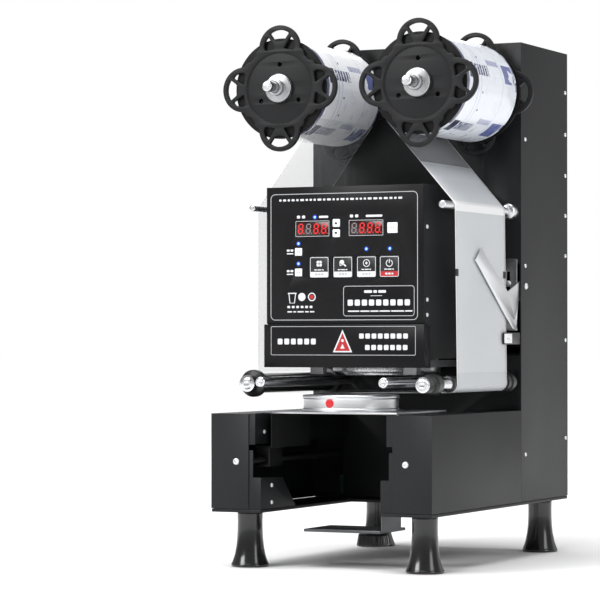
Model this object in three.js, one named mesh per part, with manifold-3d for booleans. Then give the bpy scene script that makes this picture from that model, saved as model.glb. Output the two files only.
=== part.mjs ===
// Table-top automatic cup sealing machine, in millimetres, +Z up.
// The origin is on the table, under the centre of the machine. -Y is the front, +X is the operator's right.
// Film runs from the right-hand roll, over the upper right bar, down past the photo-eye, under the
// lower right roller, across under the press, under the lower left roller and up to the left-hand roll.

import * as THREE from 'three';
import { mergeVertices } from 'three/addons/utils/BufferGeometryUtils.js';
import Module from 'manifold-3d';

const wasm = await Module();
wasm.setup();

// ---- driving dimensions ----
const halfWidth = 122.5;        // cabinet, from the centre plane to a side
const frontY = -191;            // front of the two arms
const faceY = 50.5;             // front face of the cabinet
const backY = 191;              // rear edge of the cabinet's sides
const baseBottom = 57.7;        // underside of the base plate
const baseTop = 61;
const armTop = 158.2;
const cabinetTop = 550;
const sheet = 1.5;              // sheet metal thickness
const gap = 0.3;                // running or fitting gap between pieces
const armInner = 80;            // inner edge of an arm's front, from the centre plane
const gussetInner = 66.5;       // inner face of an arm's lower gusset
const gussetTop = 93.5;

const headHalf = 88.5;          // half width of the head
const headFrontY = -130.6;      // seat of the control panel
const headTop = 391;
const headBottom = 214;
const panelThickness = 1.8;
const panelBottom = 250;

const rollX = 78.3;             // film roll axes, from the centre plane
const rollZ = 494.7;
const rollRadius = 52;
const coreRadius = 27;
const spindleRadius = 5.5;
const lobeCentre = 42.2;        // flower disc: lobe centre and lobe radius
const lobeRadius = 23.5;
const discThickness = 4.5;
const filmFrontY = -117.5;
const filmBackY = 18.5;
const filmThickness = 0.4;

const barZ = 369.6;             // upper guide bars
const rightBar = { x: 112, r: 4 };
const leftBar = { x: -101.5, r: 3.3 };
const barFrontY = -141;
const rollerZ = 188.5;          // lower rollers
const guideRoller = { x: 110, r: 8.2 };
const driveRoller = { x: -95, r: 10 };
const filmClearance = 0.5;      // from a roller's surface to the middle of the film

const ringY = -115;             // cup ring's centre with the tray out
const sealY = -24.5;            // centre of the press
const ringBore = 45.5;
const ringRadius = 50;
const ringHeight = 16.5;
const ringTop = 177;
const trayTop = 160.2;
const slotBottom = 121;         // slot in the arms' inner walls that the tray's ears run in
const slotTop = 127;
const rail = { x: 94, z: 109.5, r: 4 };
const pinion = { y: -51.5, z: 88, pitch: 12, teeth: 16 };

const crank = { z: 310, r: 13.07, swing: 35 };   // press crank, turned up by the swing at rest
const pressPlateBottom = 205;
const shelfTop = 40;

// ---- finishes ----
const finish = {
  paint: { color: 0x1b1c1e, roughness: 0.55, metalness: 0.3 },
  panel: { color: 0x0c0c0e, roughness: 0.3, metalness: 0.1 },
  plastic: { color: 0x18181a, roughness: 0.45, metalness: 0.0 },
  rubber: { color: 0x121213, roughness: 0.7, metalness: 0.0 },
  steel: { color: 0xb9bcc0, roughness: 0.3, metalness: 0.95 },
  chrome: { color: 0xd8dadd, roughness: 0.12, metalness: 1.0 },
  aluminium: { color: 0xd2d4d6, roughness: 0.35, metalness: 0.9 },
  film: { color: 0xe4e8ee, roughness: 0.25, metalness: 0.0 },
  key: { color: 0xe8e8ea, roughness: 0.5, metalness: 0.0 },
  board: { color: 0x1d4a2c, roughness: 0.6, metalness: 0.0 },
  motor: { color: 0x6d7074, roughness: 0.45, metalness: 0.7 },
};

// ---- solids and shapes ----

// A manifold from a closed three.js geometry, whichever way round its faces were wound.
function solid(geometry) {
  const bare = geometry.clone();
  bare.deleteAttribute('normal');
  bare.deleteAttribute('uv');
  const merged = mergeVertices(bare, 1e-4);
  const place = merged.attributes.position.array.map((value) => Math.round(value * 1e4) / 1e4);
  const corner = merged.index.array;
  const faces = [];
  let volume = 0;
  const a = new THREE.Vector3();
  const b = new THREE.Vector3();
  const c = new THREE.Vector3();
  for (let i = 0; i < corner.length; i += 3) {
    const [p, q, r] = [corner[i], corner[i + 1], corner[i + 2]];
    if (p === q || q === r || r === p) continue;
    a.fromArray(place, 3 * p);
    b.fromArray(place, 3 * q);
    c.fromArray(place, 3 * r);
    volume += a.dot(b.cross(c));
    faces.push([p, q, r]);
  }
  const outward = volume > 0 ? faces : faces.map(([p, q, r]) => [p, r, q]);
  const mesh = new wasm.Mesh({
    numProp: 3,
    vertProperties: new Float32Array(place),
    triVerts: new Uint32Array(outward.flat()),
  });
  return new wasm.Manifold(mesh);
}

function join(...pieces) {
  return pieces.reduce((whole, piece) => whole.add(piece));
}

function cut(body, ...tools) {
  return tools.reduce((left, tool) => left.subtract(tool), body);
}

function box(x0, x1, y0, y1, z0, z1) {
  const geometry = new THREE.BoxGeometry(Math.abs(x1 - x0), Math.abs(y1 - y0), Math.abs(z1 - z0));
  geometry.translate((x0 + x1) / 2, (y0 + y1) / 2, (z0 + z1) / 2);
  return solid(geometry);
}

// A box centred in x and z.
function centred(x, z, w, h, y0, y1) {
  return box(x - w / 2, x + w / 2, y0, y1, z - h / 2, z + h / 2);
}

function outline(points) {
  return new THREE.Shape(points.map(([u, v]) => new THREE.Vector2(u, v)));
}

// An outline in (x, y), pushed up from z0 to z1.
function prismZ(shape, z0, z1) {
  const geometry = new THREE.ExtrudeGeometry(shape, { depth: z1 - z0, bevelEnabled: false });
  geometry.translate(0, 0, z0);
  return solid(geometry);
}

// An outline in (x, z), pushed back from y0 to y1.
function prismY(shape, y0, y1) {
  const geometry = new THREE.ExtrudeGeometry(shape, { depth: y1 - y0, bevelEnabled: false });
  geometry.rotateX(Math.PI / 2);
  geometry.translate(0, y1, 0);
  return solid(geometry);
}

// An outline in (y, z), pushed across from x0 to x1.
function prismX(shape, x0, x1) {
  const geometry = new THREE.ExtrudeGeometry(shape, { depth: x1 - x0, bevelEnabled: false });
  const turn = new THREE.Matrix4().set(0, 0, 1, x0, 1, 0, 0, 0, 0, 1, 0, 0, 0, 0, 0, 1);
  return solid(geometry.applyMatrix4(turn));
}

function rodY(x, z, radius, y0, y1, sides = 24) {
  const geometry = new THREE.CylinderGeometry(radius, radius, y1 - y0, sides);
  geometry.translate(x, (y0 + y1) / 2, z);
  return solid(geometry);
}

function rodX(y, z, radius, x0, x1, sides = 24) {
  const geometry = new THREE.CylinderGeometry(radius, radius, x1 - x0, sides);
  geometry.rotateZ(Math.PI / 2);
  geometry.translate((x0 + x1) / 2, y, z);
  return solid(geometry);
}

function rodZ(x, y, radius, z0, z1, sides = 24) {
  const geometry = new THREE.CylinderGeometry(radius, radius, z1 - z0, sides);
  geometry.rotateX(Math.PI / 2);
  geometry.translate(x, y, (z0 + z1) / 2);
  return solid(geometry);
}

// A turned piece about the y axis (profile: radius, y) or the z axis (profile: radius, z).
function turnedY(profile, sides = 24) {
  return solid(new THREE.LatheGeometry(profile.map(([r, y]) => new THREE.Vector2(r, y)), sides));
}

function turnedZ(profile, sides = 24) {
  const geometry = new THREE.LatheGeometry(profile.map(([r, z]) => new THREE.Vector2(r, -z)), sides);
  geometry.rotateX(-Math.PI / 2);
  return solid(geometry);
}

// ---- the assembly ----
const machine = new THREE.Group();
machine.name = 'cup_sealing_machine';

function part(name, body, look, x = 0, y = 0, z = 0) {
  const { vertProperties, triVerts } = body.getMesh();
  const geometry = new THREE.BufferGeometry();
  geometry.setAttribute('position', new THREE.BufferAttribute(new Float32Array(vertProperties), 3));
  geometry.setIndex(Array.from(triVerts));
  const flat = geometry.toNonIndexed();
  flat.computeVertexNormals();
  const mesh = new THREE.Mesh(flat, new THREE.MeshStandardMaterial(look));
  mesh.name = name;
  mesh.position.set(x, y, z);
  machine.add(mesh);
  return mesh;
}

// ---- base plate and feet ----
const baseEdge = halfWidth - gap;
part('base_plate', prismZ(outline([
  [-baseEdge, backY - gap], [-baseEdge, frontY + gap],
  [-gussetInner, frontY + gap], [-gussetInner, faceY - 20],
  [gussetInner, faceY - 20], [gussetInner, frontY + gap],
  [baseEdge, frontY + gap], [baseEdge, backY - gap],
]), baseBottom, baseTop), finish.paint);

const footTop = baseBottom - gap;
const footProfile = [
  [0, 0], [19.5, 0], [19.5, 2.4], [18.4, 4], [16.2, 9], [14.4, 16], [13.2, 24],
  [13, 36], [13.4, footTop], [0, footTop],
];
for (const [place, x, y] of [
  ['front_left', -98, -151.5], ['front_right', 98, -151.5], ['rear_left', -98, 169], ['rear_right', 98, 169],
]) {
  part(`foot_${place}`, turnedZ(footProfile, 20), finish.rubber, x, y, 0);
}

// ---- arms: folded boxes, open underneath and at the rear ----
function armCasing(side) {
  const inner = side * armInner;
  const outer = side * halfWidth;
  const low = baseTop + gap;
  const rear = faceY - gap;
  const lipY = frontY + sheet - gap;
  const gusset = outline([
    [lipY, low], [-108.6, low], [-140.1, gussetTop - 1.5], [lipY, gussetTop],
  ]);
  const wall = [side * gussetInner, side * (gussetInner + sheet)].sort((p, q) => p - q);
  // Lips behind the front plate's inner edge: [inner edge, bottom, top].
  const lips = [[gussetInner, low, gussetTop], [75.6, gussetTop - 1, slotBottom], [73, slotTop, armTop]];
  return join(
    box(inner, outer, frontY, frontY + sheet, low, armTop),
    ...lips.map(([edge, z0, z1]) => box(side * edge, side * (armInner + 2), lipY, lipY + sheet, z0, z1)),
    box(outer - side * sheet, outer, frontY, rear, low, armTop),
    box(inner, outer, frontY, rear, armTop - sheet, armTop),
    box(inner, inner + side * sheet, frontY, rear, slotTop, armTop),
    prismX(gusset, ...wall),
  );
}
part('arm_casing_left', armCasing(-1), finish.paint);
part('arm_casing_right', armCasing(1), finish.paint);

// ---- cabinet ----
const sensorOpening = { x0: 101, x1: halfWidth - sheet, z0: 217, z1: 314 };
const cabinetLow = baseTop + gap;
const front = cut(
  box(-halfWidth, halfWidth, faceY, faceY + sheet, cabinetLow, cabinetTop),
  box(sensorOpening.x0, sensorOpening.x1, faceY - 1, faceY + 3, sensorOpening.z0, sensorOpening.z1),
  box(-70, 70, faceY - 1, faceY + 3, 222, 384),
  box(86, 118, faceY - 1, faceY + 3, 66, 150),
  box(-118, -86, faceY - 1, faceY + 3, 66, 150),
  rodY(rollX, rollZ, spindleRadius + gap, faceY - 1, faceY + 3),
  rodY(-rollX, rollZ, spindleRadius + gap, faceY - 1, faceY + 3),
  rodY(guideRoller.x, rollerZ, 4 + gap, faceY - 1, faceY + 3),
  rodY(driveRoller.x, rollerZ, 4 + gap, faceY - 1, faceY + 3),
);
part('cabinet_shell', join(
  front,
  box(-halfWidth, -halfWidth + sheet, faceY, backY, cabinetLow, cabinetTop),
  box(halfWidth - sheet, halfWidth, faceY, backY, cabinetLow, cabinetTop),
  box(-halfWidth, halfWidth, faceY, backY, cabinetTop - sheet, cabinetTop),
), finish.paint);

const coverY = 186.8;
const inlet = { x: 61, z: 86, w: 30, h: 24 };
const rocker = { x: 96, z: 86, w: 16, h: 28 };
let cover = box(-120.6, 120.6, coverY, coverY + sheet, cabinetLow + gap, cabinetTop - sheet - gap);
cover = cut(
  cover,
  box(inlet.x - inlet.w / 2 - gap, inlet.x + inlet.w / 2 + gap, 180, 195, inlet.z - 12.3, inlet.z + 12.3),
  box(rocker.x - rocker.w / 2, rocker.x + rocker.w / 2, 180, 195, rocker.z - 14, rocker.z + 14),
);
for (const x of [-62, 62]) {
  for (const low of [430, 190]) {
    for (let row = 0; row < 5; row += 1) {
      cover = cut(cover, box(x - 36, x + 36, 180, 195, low + 12 * row, low + 12 * row + 4));
    }
  }
}
part('rear_cover', cover, finish.paint);

// ---- mains inlet and rocker switch ----
part('power_inlet', cut(
  join(
    centred(inlet.x, inlet.z, inlet.w, inlet.h, 165, 190.6),
    box(inlet.x - 20, inlet.x + 20, coverY + sheet + gap, 190.6, inlet.z - 16, inlet.z + 16),
  ),
  box(inlet.x - 12, inlet.x + 12, 174, 192, inlet.z - 8.5, inlet.z + 8.5),
), finish.plastic);

const rockerOutline = outline([
  [-4, -7], [-4, 7], [1.5, 11.5], [5.6, 11.5], [4.0, 0], [2.6, -11.5], [0.5, -11.5],
]);
part('power_rocker', prismX(rockerOutline, -7.6, 7.6), finish.plastic, rocker.x, 185, rocker.z);

// ---- power supply on the base plate ----
part('power_supply', join(
  box(-105, -15, 70, 150, baseTop + gap, 65),
  box(-92, -46, 84, 134, 64, 112),
  box(-38, -24, 78, 140, 64, 96),
  rodZ(-98, 76, 5, 64, 84, 16),
  rodZ(-98, 142, 5, 64, 84, 16),
), finish.board);

// ---- head: cover, panel, board, keys and hinged safety flap ----
const headRear = faceY - gap;
part('head_cover', join(
  box(-headHalf, headHalf, headFrontY + gap, headRear, headTop - sheet, headTop),
  box(-headHalf, -headHalf + sheet, headFrontY + gap, headRear, headBottom, headTop),
  box(headHalf - sheet, headHalf, headFrontY + gap, headRear, headBottom, headTop),
  cut(
    box(-headHalf, headHalf, headFrontY + gap, headFrontY + gap + sheet, panelBottom - 1, headTop),
    box(-78, 78, headFrontY - 1, headFrontY + 5, 258, 383),
  ),
), finish.paint);

const smallKey = { w: 8.2, h: 8 };
const functionKey = { w: 22.6, h: 22.4 };
const keys = [
  { name: 'key_up', x: -8.9, z: 353.1, ...smallKey },
  { name: 'key_down', x: -8.9, z: 342.6, ...smallKey },
  { name: 'key_reset', x: 54.1, z: 347.2, w: 11.4, h: 10.8 },
  { name: 'key_mode_upper', x: -51.9, z: 324, ...smallKey },
  { name: 'key_mode_lower', x: -51.9, z: 302.8, ...smallKey },
  { name: 'key_feed', x: -27.9, z: 307.8, ...functionKey },
  { name: 'key_seal', x: -1.2, z: 307.8, ...functionKey },
  { name: 'key_pause', x: 25.4, z: 307.8, ...functionKey },
  { name: 'key_power', x: 50.9, z: 307.8, ...functionKey },
];
const displays = [{ x: -36, w: 36.4 }, { x: 24.6, w: 36.4 }];
const displayZ = 347.7;
const displayH = 14;
const panelFrontY = headFrontY - panelThickness;

let panel = box(-headHalf, headHalf, panelFrontY, headFrontY, panelBottom, headTop);
for (const key of keys) {
  const [width, height] = [key.w + 2 * gap, key.h + 2 * gap];
  panel = cut(panel, centred(key.x, key.z, width, height, panelFrontY - 1, headFrontY + 1));
}
for (const display of displays) {
  const [width, height] = [display.w + 2 * gap, displayH + 2 * gap];
  panel = cut(panel, centred(display.x, displayZ, width, height, panelFrontY - 1, headFrontY + 1));
}
part('control_panel', panel, finish.panel);

const boardFrontY = -124.6;
let board = box(-72, 72, boardFrontY, boardFrontY + 1.6, 285, 372);
for (const display of displays) {
  const block = centred(display.x, displayZ, display.w, displayH, panelFrontY + 0.6, boardFrontY + 0.8);
  board = join(board, block);
}
part('panel_board', board, finish.board);

const keyDepth = 6.8;
for (const key of keys) {
  part(key.name, centred(0, 0, key.w, key.h, -keyDepth / 2, keyDepth / 2), finish.key,
    key.x, panelFrontY - 0.6 + keyDepth / 2, key.z);
}

const flapHalf = 90.4;
part('safety_flap', join(
  box(-flapHalf, flapHalf, -134.8, -133.2, 205, 249.3),
  box(-flapHalf, -flapHalf + sheet, -134.8, -119, 205, 248),
  box(flapHalf - sheet, flapHalf, -134.8, -119, 205, 248),
), finish.panel);

// ---- press: frame with guide posts, motor, crank, carriage, cutter ring and hot plate ----
const postX = 48;
const postRadius = 6;
const frameFrontY = -100;
part('head_frame', cut(
  join(
    box(-66, 66, 45, headRear, 224, 384),
    box(-66, 66, frameFrontY, headRear, 378, 384),
    rodZ(postX, sealY, postRadius, 232, 380, 24),
    rodZ(-postX, sealY, postRadius, 232, 380, 24),
  ),
  rodY(0, crank.z, 7, 40, 55, 24),
), finish.steel);

part('press_motor', cut(
  join(box(-32, 32, faceY, 78, 275, 345), rodY(0, 320, 24, 77, 136)),
  rodY(0, crank.z, 6.4, faceY - 1, 66, 24),
), finish.motor);

const swing = THREE.MathUtils.degToRad(crank.swing);
const pinX = crank.r * Math.cos(swing);
const pinZ = crank.r * Math.sin(swing);
part('press_crank', join(
  rodY(0, 0, 22, 36, 42),
  rodY(0, 0, 6, 41, 62, 24),
  rodY(pinX, pinZ, 4, 22, 37, 24),
), finish.steel, 0, 0, crank.z);

const pinSlot = box(5, 19, 20, 40, crank.z + pinZ - 4.6, crank.z + pinZ + 4.6);
const plateTop = pressPlateBottom + 7;
const bushTop = 262;
let carriage = join(
  box(-60.5, 60.5, -86, 37, pressPlateBottom, plateTop),
  box(-60.5, -46, -86, -76, 197.5, pressPlateBottom + 1),
  box(46, 60.5, -86, -76, 197.5, pressPlateBottom + 1),
  rodZ(postX, sealY, 10, plateTop - 1, bushTop, 24),
  rodZ(-postX, sealY, 10, plateTop - 1, bushTop, 24),
  box(-14, 14, -38, -11, plateTop - 1, 300),
  box(-14, 14, -38, 32, 290, 300),
  box(-14, 28, 26, 32, 290, 330),
);
carriage = cut(
  carriage,
  rodZ(postX, sealY, postRadius + gap, plateTop + 1, bushTop + 5, 24),
  rodZ(-postX, sealY, postRadius + gap, plateTop + 1, bushTop + 5, 24),
  pinSlot,
);
part('press_carriage', carriage, finish.motor);

part('cutter_ring', turnedZ([
  [49, 0], [56.4, 0], [57.4, 1], [57.4, 6.7], [49, 6.7], [49, 0],
], 32), finish.chrome, 0, sealY, 198);
part('hot_plate', turnedZ([[0, 0], [44, 0], [45, 1], [45, 8.7], [0, 8.7]], 32), finish.steel, 0, sealY, 196);

// ---- tray: plate, ears, runners and rack, with the slotted hanger of the cup shelf ----
const plateFrontY = -169.5;
const plateRearY = -41.7;
const trayHalf = 75;
const pitchZ = pinion.z + pinion.pitch;

// A rack tooth hangs below the pitch line; half widths at the root, the pitch line and the tip.
const toothPitch = (2 * Math.PI * pinion.pitch) / pinion.teeth;
function rackOutline(y0, y1) {
  const points = [[y1, pitchZ + 7], [y0, pitchZ + 7], [y0, pitchZ + 1.9]];
  const first = Math.ceil((y0 + 3 - pinion.y) / toothPitch);
  const last = Math.floor((y1 - 3 - pinion.y) / toothPitch);
  for (let n = first; n <= last; n += 1) {
    const centre = pinion.y + n * toothPitch;
    points.push([centre - 1.5, pitchZ + 1.9], [centre - 0.45, pitchZ - 1.3]);
    points.push([centre + 0.45, pitchZ - 1.3], [centre + 1.5, pitchZ + 1.9]);
  }
  points.push([y1, pitchZ + 1.9]);
  return outline(points);
}

function runner(side) {
  return cut(
    join(
      box(side * (trayHalf - sheet), side * trayHalf, -150, -60, 122, trayTop),
      box(side * (trayHalf - sheet), side * 102, -134, -96, 122, 124.2),
      box(side * 86, side * 102, -130, -100, 102, 123),
    ),
    rodY(side * rail.x, rail.z, rail.r + gap, -140, -90, 24),
  );
}

const hangerX = 62.3;
const hanger = cut(
  box(hangerX, hangerX + sheet, -140, -90, 74, trayTop - 1),
  box(hangerX - 1, hangerX + 3, -125, -119, 84, 146),
  box(hangerX - 1, hangerX + 3, -111, -105, 84, 146),
);
part('tray_plate', join(
  cut(
    box(-trayHalf, trayHalf, plateFrontY, plateRearY, trayTop - 1.8, trayTop),
    rodZ(0, ringY, ringBore + 1, 150, 170, 40),
  ),
  runner(-1),
  runner(1),
  prismX(rackOutline(-149.5, -44.5), 104, 112),
  box(101, 105, -130, -100, 103, 107),
  hanger,
), finish.steel);

const ringWaist = ringRadius - 1.2;
part('cup_ring', turnedZ([
  [ringBore, 0], [ringRadius, 0], [ringRadius, 2.4], [ringWaist, 3.2], [ringWaist, 12.6], [ringRadius, 13.4],
  [ringRadius, 15.3], [ringWaist, ringHeight], [46.4, ringHeight], [ringBore, 15.2], [ringBore, 0],
], 40), finish.aluminium, 0, ringY, ringTop - ringHeight);

for (const [place, side] of [['left', -1], ['right', 1]]) {
  const rod = rodY(side * rail.x, rail.z, rail.r, frontY + sheet + gap, faceY + 8);
  part(`tray_rail_${place}`, rod, finish.chrome);
}

part('tray_motor', cut(
  rodX(pinion.y, pinion.z, 12, 84, 103.4),
  rodX(pinion.y, pinion.z, 3.4, 94, 105),
), finish.motor);

// One pinion tooth: radius, and distance round from the tooth's middle.
const toothPoints = [[10.1, -1.25], [12, -0.72], [13.3, -0.36], [13.3, 0.36], [12, 0.72], [10.1, 1.25]];
function pinionOutline() {
  const points = [];
  for (let n = 0; n < pinion.teeth; n += 1) {
    const middle = Math.PI / 2 + ((n + 0.5) * 2 * Math.PI) / pinion.teeth;
    for (const [radius, half] of toothPoints) {
      const angle = middle + half / radius;
      points.push([radius * Math.cos(angle), radius * Math.sin(angle)]);
    }
  }
  return outline(points);
}
part('tray_pinion', join(
  prismX(pinionOutline(), 104, 112),
  rodX(0, 0, 3, 95, 105, 24),
), finish.steel, 0, pinion.y, pinion.z);

// ---- cup shelf under the ring, and its screw knob ----
const shelfBottom = shelfTop - 3;
part('cup_shelf', join(
  box(-40, 45.5, -144.5, -80, shelfBottom, shelfTop),
  box(44, 45.5, -139, -91, shelfBottom, 63.5),
  box(44, 61.9, -139, -91, 62, 63.5),
  box(60.4, 61.9, -139, -91, 62, 112),
), finish.steel);
part('shelf_knob', turnedZ([
  [0, 0], [16.2, 0], [16.9, 0.8], [16.6, 3], [15.2, 11.5], [14.4, 13], [4.5, 13], [4.5, 15], [0, 15],
]), finish.plastic, 22, -109.5, 21.6);

// ---- film guides ----
for (const [place, bar] of [['left', leftBar], ['right', rightBar]]) {
  part(`upper_guide_bar_${place}`, turnedY([
    [0, barFrontY], [bar.r - 1, barFrontY], [bar.r, barFrontY + 1], [bar.r, 36.5], [7.2, 36.5], [8.3, 37.6],
    [8.3, faceY - gap], [0, faceY - gap],
  ], 24), finish.chrome, bar.x, 0, barZ);
}
for (const [place, x] of [['left', -70], ['right', 67]]) {
  part(`film_guide_rod_${place}`, turnedY([
    [0, -185.5], [4.4, -185.5], [5.25, -184.6], [5.25, faceY - gap], [0, faceY - gap],
  ], 24), finish.chrome, x, 0, 190.4);
}
part('guide_roller', turnedY([
  [0, -186.5], [5.6, -186.5], [6.3, -185.8], [6.3, -184.8], [8.6, -184.8], [8.6, -171.5], [9.8, -170],
  [11, -166], [11, -155], [6.5, -154.5], [6.5, -121.8], [guideRoller.r, -121.8], [guideRoller.r, 24],
  [9.5, 24], [9.5, 33], [11, 33], [11, 42], [4, 42], [4, 62], [0, 62],
], 20), finish.rubber, guideRoller.x, 0, rollerZ);
part('drive_roller', turnedY([
  [0, -166.5], [5.4, -166.5], [6, -165.9], [6, -164.8], [8.8, -164.8], [8.8, -156], [12.6, -154],
  [14, -151.5], [14, -145.5], [driveRoller.r, -144.5], [driveRoller.r, 28], [13.2, 28.6], [14, 30], [14, 41],
  [4, 42], [4, 62], [0, 62],
], 20), finish.rubber, driveRoller.x, 0, rollerZ);

// ---- film spindles, flower discs, rolls and nuts ----
const discFrontY = faceY - 174.5;
const backingRadius = 52.4;     // plain plate behind the grips, just wider than the roll
const windowInner = 39.5;
const spokeGap = 1.7;

function flowerDisc() {
  let flower = rodY(0, 0, 44, 0, discThickness, 32);
  for (let quarter = 0; quarter < 4; quarter += 1) {
    const angle = (quarter * Math.PI) / 2;
    const lobe = [lobeCentre * Math.cos(angle), lobeCentre * Math.sin(angle)];
    flower = join(flower, rodY(...lobe, lobeRadius, 0, discThickness, 24));
    for (const step of [-0.22, 0.22]) {
      const bump = angle + Math.PI / 4 + step;
      flower = join(flower, rodY(41.5 * Math.cos(bump), 41.5 * Math.sin(bump), 6.2, 0, discThickness, 8));
    }
  }
  // Each lobe has a half-moon window at its tip and a triangular one on each side of a V of two struts.
  const cutter = (points, angle) => {
    const turned = points.map(([u, v]) => [
      u * Math.cos(angle) - v * Math.sin(angle), u * Math.sin(angle) + v * Math.cos(angle),
    ]);
    return prismY(outline(turned), -1, discThickness + 1);
  };
  for (let quarter = 0; quarter < 4; quarter += 1) {
    const angle = (quarter * Math.PI) / 2;
    const moon = [];
    for (let n = 0; n <= 5; n += 1) {
      const turn = THREE.MathUtils.degToRad(-34 + (68 * n) / 5);
      moon.push([lobeCentre + 18.6 * Math.cos(turn), 18.6 * Math.sin(turn)]);
    }
    moon.push([50.4, 5.6], [49.2, 2.6], [49.2, -2.6], [50.4, -5.6]);
    flower = cut(flower, cutter(moon, angle));
    for (const side of [-1, 1]) {
      const triangle = [
        [windowInner + 1.9, side * (spokeGap + 3.2)], [windowInner, side * 16.2], [46.5, side * 17.2],
        [54.2, side * 12.6],
      ];
      const ordered = side > 0 ? triangle : triangle.slice().reverse();
      flower = cut(flower, cutter(ordered, angle));
    }
  }
  let disc = join(
    flower,
    rodY(0, 0, backingRadius, discThickness, discThickness + 1.7, 32),
    rodY(0, 0, coreRadius - 0.5, discThickness + 1, discThickness + 12, 20),
  );
  disc = cut(disc, rodY(0, 0, 37.6, -1, 1.2, 24), rodY(0, 0, spindleRadius + gap, -1, 20, 16));
  for (let hole = 0; hole < 3; hole += 1) {
    const angle = Math.PI / 2 + (hole * 2 * Math.PI) / 3;
    disc = cut(disc, rodY(25 * Math.cos(angle), 25 * Math.sin(angle), 2.5, -1, 20, 6));
  }
  return disc;
}

const disc = flowerDisc();
const spindle = (end) => turnedY([
  [0, -153.5], [4.6, -153.5], [spindleRadius, -152.4], [spindleRadius, end], [0, end],
], 24);
const roll = turnedY([
  [coreRadius, filmFrontY], [rollRadius, filmFrontY], [rollRadius, filmBackY], [coreRadius, filmBackY],
  [coreRadius, filmFrontY],
], 40);
const nut = turnedY([
  [spindleRadius + gap, -9], [7.6, -9], [8.5, -8.1], [8.5, -2.6], [14.4, -1.6], [15, -1], [15, 3.2],
  [spindleRadius + gap, 3.2], [spindleRadius + gap, -9],
], 24);
for (const [name, x, end] of [['supply', rollX, 72], ['takeup', -rollX, 84]]) {
  part(`${name}_spindle`, spindle(end), finish.chrome, x, 0, rollZ);
  part(`${name}_front_disc`, disc, finish.plastic, x, discFrontY, rollZ);
  const rear = part(`${name}_rear_disc`, disc, finish.plastic, x, faceY - 17.7, rollZ);
  rear.rotation.z = Math.PI;
  part(`${name}_film_roll`, roll, finish.film, x, 0, rollZ);
  part(`${name}_nut`, nut, finish.chrome, x, discFrontY - 2.3, rollZ);
}

part('takeup_motor', cut(
  join(
    box(-rollX - 22, -rollX + 22, faceY + sheet + gap, 76, rollZ - 24, rollZ + 24),
    rodY(-rollX, rollZ, 19, 75, 128),
  ),
  rodY(-rollX, rollZ, spindleRadius + 0.6, faceY, 88, 24),
), finish.motor);

// ---- film web: a thin strip along the tangents of the rolls, bars and rollers ----
// Each stop is a circle that the film bends round; turn is +1 where it bends to the left of its travel.
const stops = [
  { x: rollX, z: rollZ, r: rollRadius + filmClearance, turn: 1 },
  { x: rightBar.x, z: barZ, r: rightBar.r + filmClearance, turn: -1 },
  { x: guideRoller.x, z: rollerZ, r: guideRoller.r + filmClearance, turn: -1 },
  { x: driveRoller.x, z: rollerZ, r: driveRoller.r + filmClearance, turn: -1 },
  { x: leftBar.x, z: barZ, r: leftBar.r + filmClearance, turn: -1 },
  { x: -rollX, z: rollZ, r: rollRadius + filmClearance, turn: 1 },
];
function headingBetween(from, to) {
  const direct = Math.atan2(to.z - from.z, to.x - from.x);
  const distance = Math.hypot(to.x - from.x, to.z - from.z);
  return direct + Math.asin((from.turn * from.r - to.turn * to.r) / distance);
}
function filmStrip() {
  const heading = stops.slice(1).map((stop, i) => headingBetween(stops[i], stop));
  const inner = [];
  const outer = [];
  const place = (stop, angle) => {
    const [u, v] = [Math.sin(angle), -Math.cos(angle)];
    for (const [list, side] of [[inner, -1], [outer, 1]]) {
      const radius = stop.turn * stop.r + (side * filmThickness) / 2;
      list.push([stop.x + radius * u, stop.z + radius * v]);
    }
  };
  stops.forEach((stop, i) => {
    if (i === 0) {
      place(stop, heading[0]);
      return;
    }
    if (i === stops.length - 1) {
      place(stop, heading[i - 1]);
      return;
    }
    const arrive = heading[i - 1];
    let leave = heading[i];
    while (leave > arrive) leave -= 2 * Math.PI;
    const bends = 8;
    for (let n = 0; n <= bends; n += 1) {
      place(stop, arrive + ((leave - arrive) * n) / bends);
    }
  });
  return prismY(outline([...inner, ...outer.reverse()]), filmFrontY, filmBackY);
}
part('film_web', filmStrip(), finish.film);

// ---- photo-eye on its slotted bracket, and the sprung film lever ----
const slotted = cut(
  box(103.4, 118.8, 47.4, 49.2, 243, 319.4),
  box(107, 110.8, 46, 51, 262, 306),
);
const leverPivot = { y: 38.5, z: 254 };
part('sensor_bracket', join(
  slotted,
  box(117.3, 118.8, 32.5, 48, 246, 262),
  rodX(leverPivot.y, leverPivot.z, 2, 118, 120.7, 16),
), finish.steel);
part('film_lever', cut(
  prismX(outline([
    [faceY - 121.3, 314.7], [faceY - 19.4, 245], [faceY - 9, 245], [faceY - 2.5, 274], [faceY + 12, 281],
    [faceY + 12, 301], [faceY + 7.6, 297.3], [faceY - 33.4, 284.2], [faceY - 106.1, 327.4],
  ]), 119.2, 120.4),
  rodX(leverPivot.y, leverPivot.z, 2.3, 118, 122, 16),
), finish.steel);
part('photo_eye', join(
  box(106, 121.9, 26, 49.2, 228.5, 241),
  box(119.5, 121.9, 4, 27, 228.5, 241),
  box(108, 115.6, 4, 27, 228.5, 241),
), finish.plastic);

export default machine;
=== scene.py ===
import math
import random

import bmesh
import bpy
from mathutils import Matrix, Vector


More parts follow.
